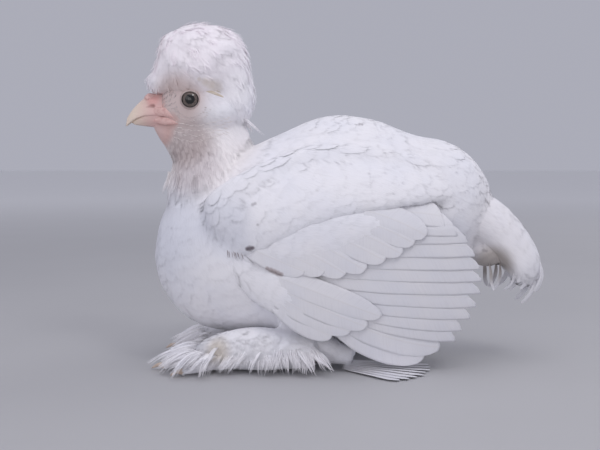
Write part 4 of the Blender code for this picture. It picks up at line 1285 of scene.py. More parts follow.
class Blade:
    """One feather: its surface and what its finish needs at each point.

    place gives points for shares of the length, millimetres to the left and depth. The tip is
    rounded by blunt, and skew makes its right corner the longer one.
    """

    def __init__(self, place, length, half, tilt, thick, blunt, skew, fray):
        stations, across = BLADE_MESH
        share = 1 - (1 - np.linspace(0, 1, stations)) ** 1.2
        wide = np.linspace(-1, 1, across)
        halves = half * np.interp(share, *np.array(BASE_SHAPE).T)
        ragged = 1 - fray * RNG.random((stations, across)) * np.abs(wide) ** 3
        aside = wide * halves[:, None] * ragged
        reach = 1 - blunt * np.abs(wide) ** 2.6 - skew * (wide + 1) / 2
        reach = reach - 0.4 * fray * RNG.random(across)
        swept = share[:, None] * reach
        ridge = 0.25 * np.exp(-((wide / 0.1) ** 2)) * (1 - share[:, None])
        wave = 0.12 * np.sin(share[:, None] * 7 + RNG.uniform(0, 6)) * wide * np.abs(wide)
        depth = tilt * aside + 0.06 * half * wide**2 - ridge + wave
        body = thick * (1 - 0.8 * wide**2) * (1 - 0.6 * share[:, None]) + 0.06
        shape = (stations, across, 3)
        top = place(swept.ravel(), aside.ravel(), depth.ravel()).reshape(shape)
        low = place(swept.ravel(), aside.ravel(), (depth + body).ravel()).reshape(shape)
        self.surface = thin_solid(top, low)
        wide = np.broadcast_to(wide, swept.shape)
        self.across = np.concatenate([wide, wide[:, ::-1]], axis=1).ravel()
        self.under = np.concatenate([0 * swept, 0 * swept + 1], axis=1).ravel()
        self.share = np.concatenate([swept, swept[:, ::-1]], axis=1).ravel()
        self.length = length


def build_blades(name, material, blades):
    """Feathers as one piece, each with its own place on the bake map."""
    shape, places = Shape(), []
    columns = math.ceil(math.sqrt(len(blades)))
    for number, blade in enumerate(blades):
        offset = RNG.uniform(0, 400)
        shape.add(blade.surface, along_mm=blade.share * blade.length + offset, across=blade.across)
        column = number % columns + 0.04 + 0.92 * blade.share
        row = number // columns + 0.25 + 0.2 * blade.across + 0.5 * blade.under
        places.append(np.column_stack([column, row]) / columns)
    made = shape.build(name, material)
    set_bake_map(made.data, np.vstack(places))
    return made


# Rows of feathers on the wing: roots and tips (x, z), how many, half width, sag from first to last,
# tilt, depth, bluntness and skew of the tips
WING_ROWS = [
    (
        [(8, 93), (-16, 81), (-36, 71), (-34, 60), (-20, 50), (-6, 43)],
        [(64, 91), (79, 82), (88.5, 67), (88, 52), (82, 37), (72, 23)],
        (11, 7.2, (3, -3), 0.09, FLIGHT_DEPTH, 0.03, 0.14),
    ),
    (
        [(-10, 42), (-8, 39)],
        [(60, 14.5), (50, 9.5)],
        (2, 8.6, (-4, -6), 0.1, FLIGHT_DEPTH, 0.16, -0.02),
    ),
    (
        [(0, 99), (-28, 88), (-56, 77)],
        [(50, 82), (33, 70), (8, 61), (-19, 62)],
        (8, 8.0, (3, 0), 0.045, COVERT_DEPTH, 0.16, 0.0),
    ),
    (
        [(-52, 65), (-48, 57), (-41, 51)],
        [(24, 35), (12, 27), (-4, 23)],
        (4, 7.6, (0, -3), 0.06, COVERT_DEPTH, 0.18, 0.0),
    ),
]


def wing_blades():
    """The left wing's flight feathers and coverts, row by row."""
    made = []
    for roots, tips, (count, half, sags, tilt, depth, blunt, skew) in WING_ROWS:
        rows = zip(smooth_path(roots, count), smooth_path(tips, count), np.linspace(*sags, count))
        for root, tip, sag in rows:
            tip = tip + RNG.uniform(-0.8, 0.8, 2)
            step = tip - root
            way = unit(np.array([-step[1], step[0]]))

            def place(share, aside, deeper, root=root, step=step, way=way, sag=sag, depth=depth):
                line = root + share[:, None] * step + (sag * 4 * share * (1 - share))[:, None] * way
                ahead = unit(step + (sag * 4 * (1 - 2 * share))[:, None] * way)
                left = np.column_stack([-ahead[:, 1], ahead[:, 0]])
                sunk = (ROOT_DEPTH - depth) * np.clip(1 - share / ROOT_SHARE, 0, 1)
                return wing_place(line + aside[:, None] * left, depth + sunk + deeper)

            own_half = half * RNG.uniform(0.95, 1.05)
            length = np.linalg.norm(step)
            made.append(Blade(place, length, own_half, tilt, VANE_THICK, blunt, skew, VANE_FRAY))
    return made


def lock_blade(spine, out, half, lean, blunt):
    """A feather along a line in space, facing out."""
    spine = np.array(spine, float)
    length = np.linalg.norm(np.diff(spine, axis=0), axis=1).sum()
    table = np.column_stack([np.linspace(0, 1, len(spine)), spine])

    def place(share, aside, deeper):
        onward = hermite(table, np.minimum(share + 0.02, 1))
        ahead = unit(onward - hermite(table, np.minimum(share, 0.98)))
        across = unit(np.cross(out, ahead))
        facing = np.cross(ahead, across)
        return hermite(table, share) + aside[:, None] * across - deeper[:, None] * facing

    return Blade(place, length, half, lean, LOCK_THICK, blunt, 0.0, LOCK_FRAY)


# A barb's thickness from its root to its tip, as a share of the greatest
BARB_TAPER = [0.7, 1.0, 1.0, 0.85, 0.6, 0.25]


def barbs(spine, out, half, count, radius, spread, seed):
    """Loose barbs that follow a line in space, with their spread at its root, middle and end."""
    random = np.random.default_rng(seed)
    share = np.linspace(0, 1, len(BARB_TAPER))
    path = smooth_path(spine, 24)
    length = np.linalg.norm(np.diff(path, axis=0), axis=1).sum()
    made = []
    for _ in range(count):
        aside, lift = random.uniform(-1, 1) * half, random.uniform(-0.35, 0.35) * half
        end = random.uniform(0.72, 1.0)
        at = hermite(np.column_stack([np.linspace(0, 1, len(path)), path]), share * end)
        ahead = unit(np.gradient(at, axis=0))
        across = unit(np.cross(np.broadcast_to(out, ahead.shape), ahead))
        facing = np.cross(ahead, across)
        wide = np.interp(share * end, (0.0, 0.45, 1.0), spread)[:, None]
        stray = random.normal(0, 0.02 * length, 3) * share[:, None] ** 2
        middle = at + across * aside * wide + facing * lift * wide + stray
        size = radius * np.array(BARB_TAPER)[:, None]
        corners = ((-1, -0.5), (1, -0.5), (0, 0.8))
        rings = [middle + across * size * aside + facing * size * up for aside, up in corners]
        made.append((tube(np.stack(rings, axis=1)), np.append(np.repeat(share, 3), [0, 1])))
    return made


def build_locks(name, material, locks):
    """Locks of barbs as one piece, kept off the floor."""
    shape, places = Shape(), []
    columns = math.ceil(math.sqrt(len(locks)))
    for number, lock in enumerate(locks):
        spot = np.array([number % columns + 0.5, number // columns + 0.5]) / columns
        for index, (surface, along) in enumerate(lock):
            surface[0][:, 2] = np.maximum(surface[0][:, 2], LOWEST[2] / MM)
            shape.add(surface, along=along, across=0.3 * index, chance=0.01 * number)
            offset = np.column_stack([index / len(lock) - 0.5 + 0 * along, along - 0.5])
            places.append(spot + offset * TUFT_PATCH)
    made = shape.build(name, material)
    set_bake_map(made.data, np.vstack(places))
    return made


def flipped(lock):
    return [(mirrored(surface), along) for surface, along in lock]


# The tail: a soft sleeve of feathers that ends in hanging, curling locks

# The sleeve: share of the tail's length, and how much wider than its radius
TAIL_SLEEVE = [
    (-0.1, -3.0),
    (0.0, -3.0),
    (0.2, -2.4),
    (0.45, -2.0),
    (0.6, -2.4),
    (0.7, -4.6),
    (0.77, -10.0),
]
# How far the sleeve's underside hangs, as a share of its radius, from the tail's root to its end
TAIL_FLAT = [(0.0, 0.95), (0.3, 0.8), (0.5, 0.45), (0.7, 0.3)]
# The curling feathers under the tail: how far to the side, and a line (x, z) from root to tip
TAIL_CURLS = [
    (9, [(94, 62), (94.8, 55.7), (95.1, 49.7), (96.7, 44.8)]),
    (6, [(101, 61), (101.2, 55.2), (100, 49.7), (97, 44.8)]),
    (10, [(105, 64), (109, 57), (107.4, 49.7), (102.4, 45.4)]),
    (9, [(121, 61), (119.8, 55.7), (117.1, 51), (112.5, 45.6)]),
    (5, [(122.5, 62), (123, 51.4), (120.8, 44.7), (117.7, 40.4), (113.8, 36.7)]),
    (10, [(125, 62), (125.2, 54), (123.5, 49), (120.6, 44.5)]),
    (3, [(126.5, 62), (127.6, 53), (125.5, 47), (122.5, 43.5)]),
    (12, [(116, 62), (115.5, 57), (113, 53), (110, 50.5)]),
    (2, [(112, 62), (113, 54), (111, 48), (107, 44)]),
]
CURL_HALF = 1.35


def tail_curls():
    """The curling feathers of the tail's left half."""
    made = []
    for aside, line in TAIL_CURLS:
        spine = smooth_path([(x, -aside - 0.15 * (60 - z), z) for x, z in line], 12)
        half = CURL_HALF * RNG.uniform(0.8, 1.15)
        made.append(lock_blade(spine, unit(np.array([0.5, -1.0, 0.0])), half, 0.15, 0.12))
    return made


def heading(degrees):
    """A level direction: 0 is rearwards, and 90 is to the right."""
    return np.array([math.cos(math.radians(degrees)), math.sin(math.radians(degrees)), 0.0])


# The foot's fringe from the front one round to the hindmost: root (x, y, z), heading, length
FRINGE = [
    (-78, -20, 9, 150, 22),
    (-76, -25, 10, 168, 25),
    (-74, -31, 12, 196, 27),
    (-66, -37, 13, 226, 22),
    (-50, -42, 14, 252, 17),
    (-30, -44, 14, 280, 17),
    (-12, -42, 13, 305, 22),
]
# The shorter ones over the toes, in the same columns
TOE_COVER = [
    (-84, -8, 11, 150, 22),
    (-88, -18, 12, 168, 26),
    (-90, -31, 12, 182, 27),
    (-86, -43, 12, 205, 25),
    (-74, -48, 12, 232, 20),
]
# Each ring: the line it starts from, how many locks, share of the length, how much higher it lies
FRINGE_RINGS = [
    (FRINGE, 52, 1.0, 0.0),
    (TOE_COVER, 26, 1.0, 0.5),
    (TOE_COVER, 24, 0.8, 3.0),
    (FRINGE, 48, 0.75, 2.0),
]
# How far a lock's root, heading and length stray, its bend, and the ranges of lengths and widths
FRINGE_STRAY, FRINGE_BEND = (1.2, 1.2, 1.2, 13.0, 0.5), 14.0
FRINGE_LENGTHS, FRINGE_HALVES = (0.62, 1.05), (1.6, 2.8)
# Each lock's barbs: how many, radius, and their spread at root, middle and end
FRINGE_BARBS, RUFF_BARBS, NAPE_BARBS = (
    (15, 0.24, (0.6, 1.0, 0.5)),
    (12, 0.2, (0.7, 1.0, 0.7)),
    (9, 0.22, (0.7, 1.0, 0.8)),
)
# The heel's stiff feathers: how many, headings and lengths from first to last, and half width
HOCK_COUNT, HOCK_HEADINGS, HOCK_LENGTHS, HOCK_HALF = 8, (-48.0, 10.0), (46.0, 54.0), 4.4


def fringe_locks():
    """The foot's shaggy locks, spread round it in rings one over the other."""
    locks = []
    for line, count, reach, higher in FRINGE_RINGS:
        stations = np.column_stack([np.linspace(0, 1, len(line)), line])
        for row in hermite(stations, np.linspace(0, 1, count)):
            x, y, z, degrees, length = row + RNG.normal(0, FRINGE_STRAY)
            length = length * reach * RNG.uniform(*FRINGE_LENGTHS)
            share = np.linspace(0, 1, 6)
            bend = RNG.normal(0, FRINGE_BEND) * share
            step = np.array([heading(degrees + turn) for turn in bend])
            spine = np.array([x, y, 0]) + step * (length * share - 4.0)[:, None]
            rest = 1.0 + 0.8 * higher + RNG.uniform(0, 3.5)
            spine[:, 2] = (z + 0.3 * higher) * (1 - share**1.5) + rest * share
            half = RNG.uniform(*FRINGE_HALVES)
            locks.append(barbs(spine, UPWARDS, half, *FRINGE_BARBS, len(locks)))
    return locks


# The ruff's ragged locks at the front of the neck's foot: how many, root height and length, and
# the half widths of a lock there and at the nape
RUFF, RUFF_HALF, NAPE_HALF = (15, 117.0, 13.0), 2.4, 1.8
# The nape's tuft: how far aside each lock starts, and the locks' line of x, spread and z
NAPE_TUFT = (-6, -2, 3, 7)
NAPE_LINE = [(-60, 1.0, 152), (-55, 1.0, 149), (-52, 1.2, 145.5), (-48.5, 1.4, 143)]


def ruff_locks():
    """The ruff's locks, and the tuft at the nape."""
    count, height, length = RUFF
    locks = []
    for turn in np.radians(np.linspace(-75, 75, count)):
        out = np.array([-math.cos(turn), math.sin(turn), 0.0])
        root = np.array([-77.5, 0.0, height]) + out * (25.0, 25.0, 0) + RNG.normal(0, 0.8, 3)
        long = length * RNG.uniform(0.8, 1.15)
        fall = np.linspace(0, 1, 6)[:, None]
        spine = root + np.array([0.0, 0.0, -1.0]) * fall * long + out * long * 0.36 * fall**1.6
        locks.append(barbs(spine, out, RUFF_HALF, *RUFF_BARBS, len(locks) + 90))
    for aside in NAPE_TUFT:
        spine = np.array([(x, aside * spread, z) for x, spread, z in NAPE_LINE])
        spine = spine + RNG.normal(0, 1.3, 3) * np.linspace(0, 1.4, 4)[:, None]
        locks.append(barbs(spine, (0.3, 0.0, 1.0), NAPE_HALF, *NAPE_BARBS, aside + 200))
    return locks


def hock_blades():
    """The heel's stiff feathers, fanned back over the floor."""
    fan = zip(np.linspace(*HOCK_HEADINGS, HOCK_COUNT), np.linspace(*HOCK_LENGTHS, HOCK_COUNT))
    made = []
    for number, (degrees, length) in enumerate(fan):
        share = np.linspace(0, 1, 8)
        reach = length * RNG.uniform(0.96, 1.0) * share
        spine = np.array(HEEL) + heading(degrees) * reach[:, None]
        spine[:, 2] = (1.2 + 0.7 * number) * (1 - share) + 1.2 * share
        made.append(lock_blade(spine, UPWARDS, HOCK_HALF, 0.1, 0.14))
    return made


def with_mirror(blades):
    """The right side's feathers, as a mirror of the left's."""
    for blade in blades:
        blade.surface = mirrored(blade.surface)
    return blades


# The crest: mounds (centre and radii) that run together, and where its feathers part
CREST_MOUNDS = [
    ((-82.0, 0.0, 182.5), (28.5, 23.5, 24.5)),
    ((-97.0, 0.0, 191.0), (12.0, 15.0, 13.0)),
    ((-90.0, 0.0, 194.0), (12.0, 15.0, 13.0)),
    ((-71.5, 0.0, 190.0), (12.0, 16.0, 14.0)),
    ((-84.0, 0.0, 196.5), (16.0, 14.5, 11.5)),
    ((-63.5, 0.0, 164.0), (13.0, 17.0, 18.0)),
    ((-66.0, 0.0, 174.0), (13.5, 19.0, 16.0)),
    ((-105.5, 0.0, 172.5), (11.0, 12.0, 8.0)),
    ((-101.0, 0.0, 180.0), (10.5, 14.5, 11.0)),
]
CREST_PARTING = (-94.0, 0.0, 194.0)
CREST_VOXEL, CREST_SMOOTHING = 1.5, 14
# How long the feathers of the crest and the tail are
CREST_LENGTH, TAIL_FEATHER = 12.0, 19.0
# The crest's lower edge at the sides of the head (x, z), and how far above it its feathers grow
CREST_EDGE = [
    (-118, 162),
    (-104, 166),
    (-97, 169),
    (-92, 173),
    (-87, 175),
    (-79, 174.5),
    (-71, 170),
    (-65, 162),
    (-58, 152),
    (-50, 147),
]
CREST_HANG = (-1.0, 2.0)
# Small mounds over the crest, half sunk: how many, radius, how far out
CREST_FLUFF = (60, 7.5, 0.81)


def crest_ball(material):
    """The crest's round body under its feathers."""
    shape = Shape()
    for centre, radii in CREST_MOUNDS:
        shape.add(ball(centre, radii))
    random = np.random.default_rng(11)
    count, radius, out = CREST_FLUFF
    middle, size = np.array(CREST_MOUNDS[0][0]), np.array(CREST_MOUNDS[0][1])
    for way in unit(random.normal(size=(count, 3))):
        if way[2] > -0.25:
            radii = (radius * random.uniform(0.7, 1.0),) * 3
            shape.add(ball(middle + way * size * out, radii, 10, 14))
    made = fused(shape, "crest_under", material, CREST_VOXEL, CREST_SMOOTHING)
    points, facing = points_of(made)
    way = unit(points - CREST_PARTING) + np.array([0.05, 0.0, -0.25])
    above = points[:, 2] - np.interp(points[:, 0], *np.array(CREST_EDGE).T)
    grown = ramp(above, *CREST_HANG) * ramp(facing[:, 2], -0.9, -0.6)
    midline = 0.25 + 0.75 * ramp(-np.abs(points[:, 1]), -13, -8)
    around = np.arctan2(points[:, 1], -(points[:, 0] + 82.5)) / math.tau
    places = np.column_stack([around, (points[:, 2] - 130) / 90])
    places = np.clip(0.5 + 0.9 * places - (0, 0.45), *MAP_EDGE)
    regions = {"crest": grown, "wisps": grown * midline}
    store_coat(made, facing, way, np.full(len(points), CREST_LENGTH), places, regions)
    return made


def store_coat(thing, facing, way, length, places, regions):
    """Stores on a surface what its coat is made from."""
    way = unit(way - (way * facing).sum(axis=1, keepdims=True) * facing)
    set_values(thing.data, "lie", way)
    set_values(thing.data, "facing", facing)
    set_values(thing.data, "length", length * MM)
    set_values(thing.data, "root_place", np.column_stack([places, np.zeros(len(places))]))
    for name, share in regions.items():
        set_values(thing.data, name, share)
    set_bake_map(thing.data, places)


def cushion(part, side, material):
    """The base under the small feathers on the coverts or the hand of one wing."""
    *loft, slope, lengths = CUSHIONS[part]
    surface = on_side(arm(*loft, 40, 20), side)
    made = joined(part + "_" + side, material, [surface])
    points, facing = points_of(made)
    way = np.tile((1.0, 0.0, slope), (len(points), 1))
    out = ramp(facing[:, 1] * SIDES[side], -0.6, -0.3)
    length = np.interp(points[:, 0], (-65, -15, 40), lengths)
    places = np.column_stack([(points[:, 0] + 90) / 180, points[:, 2] / 150])
    store_coat(made, facing, way, length, places, {part: out})
    return made


def tail_sleeve(material):
    """The base under the tail's feathers."""
    surface = tail_tube(TAIL_SLEEVE, 26, 40, (8.0, 0, -4.0), TAIL_FLAT)
    made = joined("tail_under", material, [surface])
    points, facing = points_of(made)
    share = np.linspace(0, 1, 60)
    middle, _, _ = tail_frame(share)
    nearest = np.linalg.norm(points[:, None] - middle[None], axis=2).argmin(axis=1)
    way = unit(np.gradient(middle, axis=0))[nearest]
    aside = 0.5 + 0.45 * np.clip(points[:, 1] / 26, -1, 1)
    places = np.column_stack([0.05 + 0.9 * share[nearest], aside])
    grown = ramp(share[nearest], 0.05, 0.12)
    store_coat(made, facing, way, np.full(len(points), TAIL_FEATHER), places, {"tail": grown})
    return made


# Bill, comb, lids and the flesh at the mouth's corner

# The bill's halves along X: x, top, bottom, half width
UPPER_BILL = [
    (-100.0, 164.6, 152.3, 8.4),
    (-107.0, 165.4, 152.4, 8.0),
    (-113.0, 165.0, 152.4, 7.2),
    (-118.0, 162.6, 151.9, 6.1),
    (-122.5, 158.8, 150.5, 4.8),
    (-126.2, 154.6, 148.3, 3.4),
    (-128.8, 150.6, 146.2, 1.9),
]
UPPER_BILL_TIP = (-129.8, 0.0, 145.4)
LOWER_BILL = [
    (-99.0, 151.8, 144.0, 7.6),
    (-108.0, 151.9, 144.4, 7.0),
    (-115.0, 151.6, 145.2, 5.9),
    (-120.0, 150.4, 145.8, 4.4),
    (-124.0, 148.8, 146.4, 2.6),
]
LOWER_BILL_TIP = (-126.2, 0.0, 147.8)
NOSTRIL = (-113.3, -7.0, 157.9)
COMB, COMB_HALF = (-113.6, 0.0, 162.8), (4.2, 4.4, 2.9)


def bill_loft(stations, tip, upper, count=60, around=44):
    """Half a bill: rounded above or below, and flat where the halves meet."""
    places = np.linspace(stations[0][0], stations[-1][0], count)
    angle = turns(around)
    forwards = [(-x, *sizes) for x, *sizes in stations]
    rings = []
    for x, (top, bottom, width) in zip(places, hermite(forwards, -places)):
        meet, far = (bottom, top) if upper else (top, bottom)
        height = np.where(np.sin(angle) > 0, far - meet, 0.12 * (meet - far))
        side = np.sign(np.cos(angle)) * np.abs(np.cos(angle)) ** 0.9
        upright = meet + height * np.abs(np.sin(angle)) ** 1.1
        rings.append(np.column_stack([np.full(around, x), width * side, upright]))
    points, quads, tris = tube(rings, last=np.array(tip))
    if upper:
        for side in SIDES.values():
            off = (points - np.array(NOSTRIL) * (1, -side, 1)) / (3.0, 3.0, 0.8)
            dent = np.exp(-(off**2).sum(axis=1))
            rim = np.exp(-(((off - (0, 0, 2.9)) / (1.1, 1.0, 2.0)) ** 2).sum(axis=1))
            points[:, 1] += side * (1.3 * rim - 1.3 * dent)
    return points, quads, tris


def head_side(x, z):
    """How far out the head's skin stands at a place seen from the side."""
    middle, rise, drop, width = hermite(HEAD, np.clip(x, HEAD[0][0], HEAD[-1][0])).T
    inset = COAT_DEPTH["head"]
    up = z - middle
    height = np.where(up > 0, rise, drop) - inset
    return (width - inset) * np.sqrt(np.clip(1 - (up / height) ** 2, 0, 1))


# The fleshy lips at the mouth's corner, and the folds over and behind the eye: lines, and half
# sizes outwards and up along them
UPPER_LIP = [(-116, -5.0, 154.2), (-108, -8.0, 154.2), (-101, -10.6, 152.6), (-96.4, -12.2, 148.8)]
LOWER_LIP = [(-114, -4.6, 148.9), (-107, -7.4, 148.9), (-101, -10.2, 147.9), (-96.0, -12.0, 147.2)]
GAPE_FOLDS = [
    (UPPER_LIP, [(0.3, 0.5), (0.8, 2.6), (0.9, 2.2), (0.4, 0.8)]),
    (LOWER_LIP, [(0.3, 0.5), (0.8, 2.4), (0.8, 1.9), (0.3, 0.6)]),
]
BROW_LINE = [(-96, 169.0), (-88, 173.6), (-80, 173.6), (-70, 168.8)]
FACE_FOLDS = [
    (BROW_LINE, [(0.3, 0.5), (0.5, 0.7), (0.6, 0.8), (0.3, 0.5)]),
    ([(-84, 171.6), (-76, 169.4), (-67, 164.4)], [(0.3, 0.8), (0.9, 2.8), (0.4, 0.8)]),
    ([(-80, 166.2), (-74, 164.8), (-67, 161.8)], [(0.2, 0.5), (0.7, 1.0), (0.3, 0.5)]),
]
UNDER_EYE = [(-97.5, 158), (-95, 153), (-89, 150.5), (-82, 152), (-78.5, 157)]
UNDER_LIDS = [(-98.5, 156), (-95.5, 151), (-89, 148.6), (-81, 150), (-76.5, 155)]
# Pin feathers: line that they stand along (x, z), how many, length, way that they point, how dark
PIN_ROWS = [
    ([(-108, 162), (-104, 164.5), (-99, 167)], 11, 2.0, (0.25, 1.0), 0.6),
    ([(-107, 160.5), (-103, 162), (-98.5, 165)], 10, 1.8, (0.4, 0.9), 0.6),
    ([(-106, 159), (-102, 160), (-98, 162.5)], 9, 1.6, (0.6, 0.8), 0.5),
    ([(-105, 157.5), (-101, 157.5), (-98, 159)], 8, 1.5, (0.9, 0.5), 0.4),
    ([(-104, 155.5), (-100, 155.0), (-97, 156)], 7, 1.4, (1.0, 0.3), 0.35),
    (UNDER_EYE, 21, 1.1, (1.0, -0.25), 0.35),
    (UNDER_LIDS, 23, 1.3, (1.0, -0.25), 0.25),
    ([(-98, 163), (-96, 168), (-90, 171), (-82, 169.5)], 17, 1.1, (1.0, 0.2), 0.3),
    ([(-97, 147.5), (-88, 145.5), (-76, 147.5), (-66, 150)], 20, 2.4, (1.0, 0.0), 0.0),
    ([(-97, 144.8), (-88, 142.4), (-76, 144.5), (-65, 148)], 20, 2.6, (1.0, -0.1), 0.0),
    ([(-98, 142), (-88, 139.4), (-77, 141.5), (-66, 145)], 20, 2.8, (1.0, -0.2), 0.05),
    ([(-99, 139), (-89, 136.2), (-78, 138.2), (-68, 142)], 20, 3.0, (1.0, -0.35), 0.1),
    ([(-64, 72.6), (-58, 71.6), (-52, 71.0)], 11, 4.2, (0.15, -1.0), 0.9),
]
PIN_RADIUS = 0.17


def beside(skin):
    """A function that gives the place on a surface's left, and its way out, at an x and z."""
    tree = BVHTree.FromObject(skin, bpy.context.evaluated_depsgraph_get())

    def found(x, z):
        start = (np.array([x, -80.0, z]) + ORIGIN_SHIFT) * MM
        place, facing, _, _ = tree.ray_cast(Vector(start), Vector((0.0, 1.0, 0.0)))
        return np.array(place) / MM - ORIGIN_SHIFT, np.array(facing)

    return found


def skin_fold(found, line, sizes):
    """A low fold that runs along a line on the skin, half sunk in it."""
    places = [found(x, z) for x, z in smooth_path(line, 24)]
    path = np.array([place - facing * 0.1 for place, facing in places])
    return path_tube(path, smooth_path(sizes, 24), 14)


def pin(root, way, out, length):
    """A small sheathed feather: a pointed tube that leaves the skin at a slant."""
    way = unit(way - (way @ out) * out) + 0.3 * out
    line = root + way * np.linspace(-0.25, 1, 6)[:, None] * length
    line = line - out * (0.14 * length * np.linspace(0, 1, 6) ** 2)[:, None]
    radii = PIN_RADIUS * np.array([0.9, 1.0, 1.0, 0.85, 0.6, 0.2])
    return path_tube(line, np.column_stack([radii, radii]), 6)


def build_pins(found, material):
    """The pin feathers of both sides of the face, and the rows under the shoulders."""
    random = np.random.default_rng(23)
    shape = Shape()
    for line, count, length, (ahead, up), dark in PIN_ROWS:
        for x, z in smooth_path(line, count) + random.normal(0, 0.3, (count, 2)):
            root, out = found(x, z)
            way = np.array([ahead, 0.0, up + random.normal(0, 0.15)])
            surface = pin(root, way, out, length * random.uniform(0.7, 1.15))
            tone = np.clip(dark * random.uniform(0.6, 1.3), 0, 1)
            shape.add(surface, dark=tone)
            shape.add(mirrored(surface), dark=tone)
    return shape.build("pin_feathers", material)


# The lids' radii round the eye: at their edge, along their roll and where feathers cover them
LID_INNER, LID_ROLL, LID_OUTER = 4.75, 6.0, 9.6
# How deep the ring of lids is
LID_DEPTH = 1.6


def lid_surface(around=72, steps=14):
    """The ring of lids round the left eye, from the eyeball out under the feathers of the face."""
    angle = turns(around)
    brow = 0.35 * np.maximum(np.sin(angle), 0) ** 2
    rings, edges = [], []
    for step in np.linspace(0, 1, steps):
        inner = LID_INNER - brow + 0.25 * np.cos(angle) ** 2
        radius = inner + (LID_OUTER - inner) * step
        x, z = EYE[0] + radius * np.cos(angle), EYE[2] + radius * np.sin(angle)
        on_eye = -EYE[1] + np.sqrt(np.clip(EYE_RADIUS**2 - radius**2, 0, None)) + 0.3
        on_head = head_side(x, z) - 0.5
        blend = ramp(radius, LID_INNER + 0.4, LID_OUTER - 1.0)
        roll = 0.9 * np.exp(-(((radius - LID_ROLL) / 0.9) ** 2)) * (1 + 0.5 * np.sin(angle))
        folds = 0.16 * np.sin(radius * 5.2 + 0.6 * np.sin(3 * angle)) * ramp(radius, 6.2, 7.2)
        out = on_eye * (1 - blend) + on_head * blend + roll + folds
        rings.append(np.column_stack([x, -out, z]))
        edges.append(np.full(around, 1 - min(step / 0.1, 1)))
    inner_back = rings[0] + (0, LID_DEPTH, 0)
    outer_back = rings[-1] + (0, LID_DEPTH, 0)
    loop = [*rings, outer_back, inner_back]
    values = [*edges, np.zeros(around), np.ones(around)]
    points = np.vstack(loop)
    here = np.arange(len(points)).reshape(len(loop), around)
    below, next_to = np.roll(here, -1, axis=0), np.roll(here, -1, axis=1)
    quads = np.stack([here, next_to, np.roll(next_to, -1, axis=0), below], axis=-1).reshape(-1, 4)
    corners = points[quads[:around, :3]]
    if np.cross(corners[:, 1] - corners[:, 0], corners[:, 2] - corners[:, 0])[:, 1].sum() > 0:
        quads = quads[:, ::-1]
    return (points, quads, np.zeros((0, 3), int)), np.concatenate(values)


def lobed(surface, centre, size, seed):
    """A surface with small rounded lumps."""
    points, quads, tris = surface
    random = np.random.default_rng(seed)
    for knob in unit(random.normal(size=(14, 3))):
        way = unit(points - centre)
        points = points + way * (size * np.exp(-((1 - way @ knob) / 0.06)))[:, None]
    return points, quads, tris


def coat_inputs(spacing, width, lift, stray, **more):
    """A coat's own inputs. Its spacing, width and stray are given in millimetres."""
    return {"Spacing": spacing * MM, "Width": width * MM, "Lift": lift, "Stray": stray * MM, **more}


def make_bases(down):
    """The surfaces that small feathers grow on, by name."""
    skin = make_skin(down)
    dress(skin)
    bases = {"skin": skin}
    bases["crest"] = crest_ball(down_material("crest_down", CREST_PAINTED_GLOW))
    bases["tail"] = tail_sleeve(down)
    for side in SIDES:
        for part in CUSHIONS:
            bases[part + "_" + side] = cushion(part, side, down)
    return bases


def grow_coats(bases, finish, loose):
    """The small feathers and down on every base, by name."""
    tree = CoatTree()
    fine = tuft("fine_tuft", 6, (0.0, 0.6), 0.5, 3)
    broad = tuft("broad_tuft", 8, (0.0, 0.5), 0.35, 4)
    leaf = contour("body_feather", 7, 0.16, 5)
    plume = contour("small_feather", 5, 0.35, 6)
    fluff = tuft_material("crest_fluff", SOFTNESS, CREST_PAINTED_GLOW)
    runs = [
        ("skin", "breast", leaf, coat_inputs(4.4, 11.5, 0.004, 1.0)),
        ("skin", "back", leaf, coat_inputs(5.0, 12.5, 0.005, 1.0)),
        ("skin", "belly", leaf, coat_inputs(5.6, 13.0, 0.012, 1.0)),
        ("skin", "neck", plume, coat_inputs(2.7, 5.5, 0.012, 1.4)),
        ("skin", "face", plume, coat_inputs(1.5, 2.4, 0.02, 0.6, Thickness=0.08 * MM)),
        ("skin", "foot", broad, coat_inputs(2.2, 3.6, 0.10, 3.0)),
        ("skin", "throat", fine, coat_inputs(3.0, 2.6, 0.09, 3.0, Stretch=1.2, Finish=loose)),
        ("crest", "crest", plume, coat_inputs(2.6, 4.8, 0.01, 1.6, Finish=fluff)),
        ("crest", "wisps", fine, coat_inputs(3.4, 3.0, 0.24, 8.0, Finish=loose)),
        ("tail", "tail", leaf, coat_inputs(4.8, 10.5, 0.006, 1.2)),
    ]
    for side in SIDES:
        for part in CUSHIONS:
            runs.append((part + "_" + side, part, leaf, coat_inputs(4.8, 12.0, 0.005, 1.0)))
    usual = {"Base": 0.1 * MM, "Thickness": 0.04 * MM, "Stretch": 1.0, "Splay": 0.22, "Cling": 0.9}
    coats = {}
    for number, (base, region, feather, own) in enumerate(runs):
        name = base if region in CUSHIONS else region
        chosen = {"Region": region, "Feather": feather, "Seed": number, "Finish": finish}
        inputs = {**usual, **chosen, **own}
        coats[name] = tree.grow(bases[base], name + "_coat", **inputs)
    for spare in (fine, broad, leaf, plume):
        bpy.data.objects.remove(spare)
    return coats


def make_feathers(vanes, loose):
    """The single feathers and locks, by name."""
    wings = {"wing_left": wing_blades(), "wing_right": with_mirror(wing_blades())}
    pieces = {}
    for name, blades in wings.items():
        pieces[name] = build_blades(name + "_feathers", vanes, blades)
    curls = tail_curls() + with_mirror(tail_curls())
    pieces["tail"] = build_blades("tail_curls", vanes, curls)
    fringe = fringe_locks() + [flipped(lock) for lock in fringe_locks()]
    pieces["fringe"] = build_locks("foot_fringe", loose, fringe)
    pieces["ruff"] = build_locks("neck_ruff", loose, ruff_locks())
    hocks = hock_blades() + with_mirror(hock_blades())
    pieces["hock"] = build_blades("hock_feathers", vanes, hocks)
    return pieces


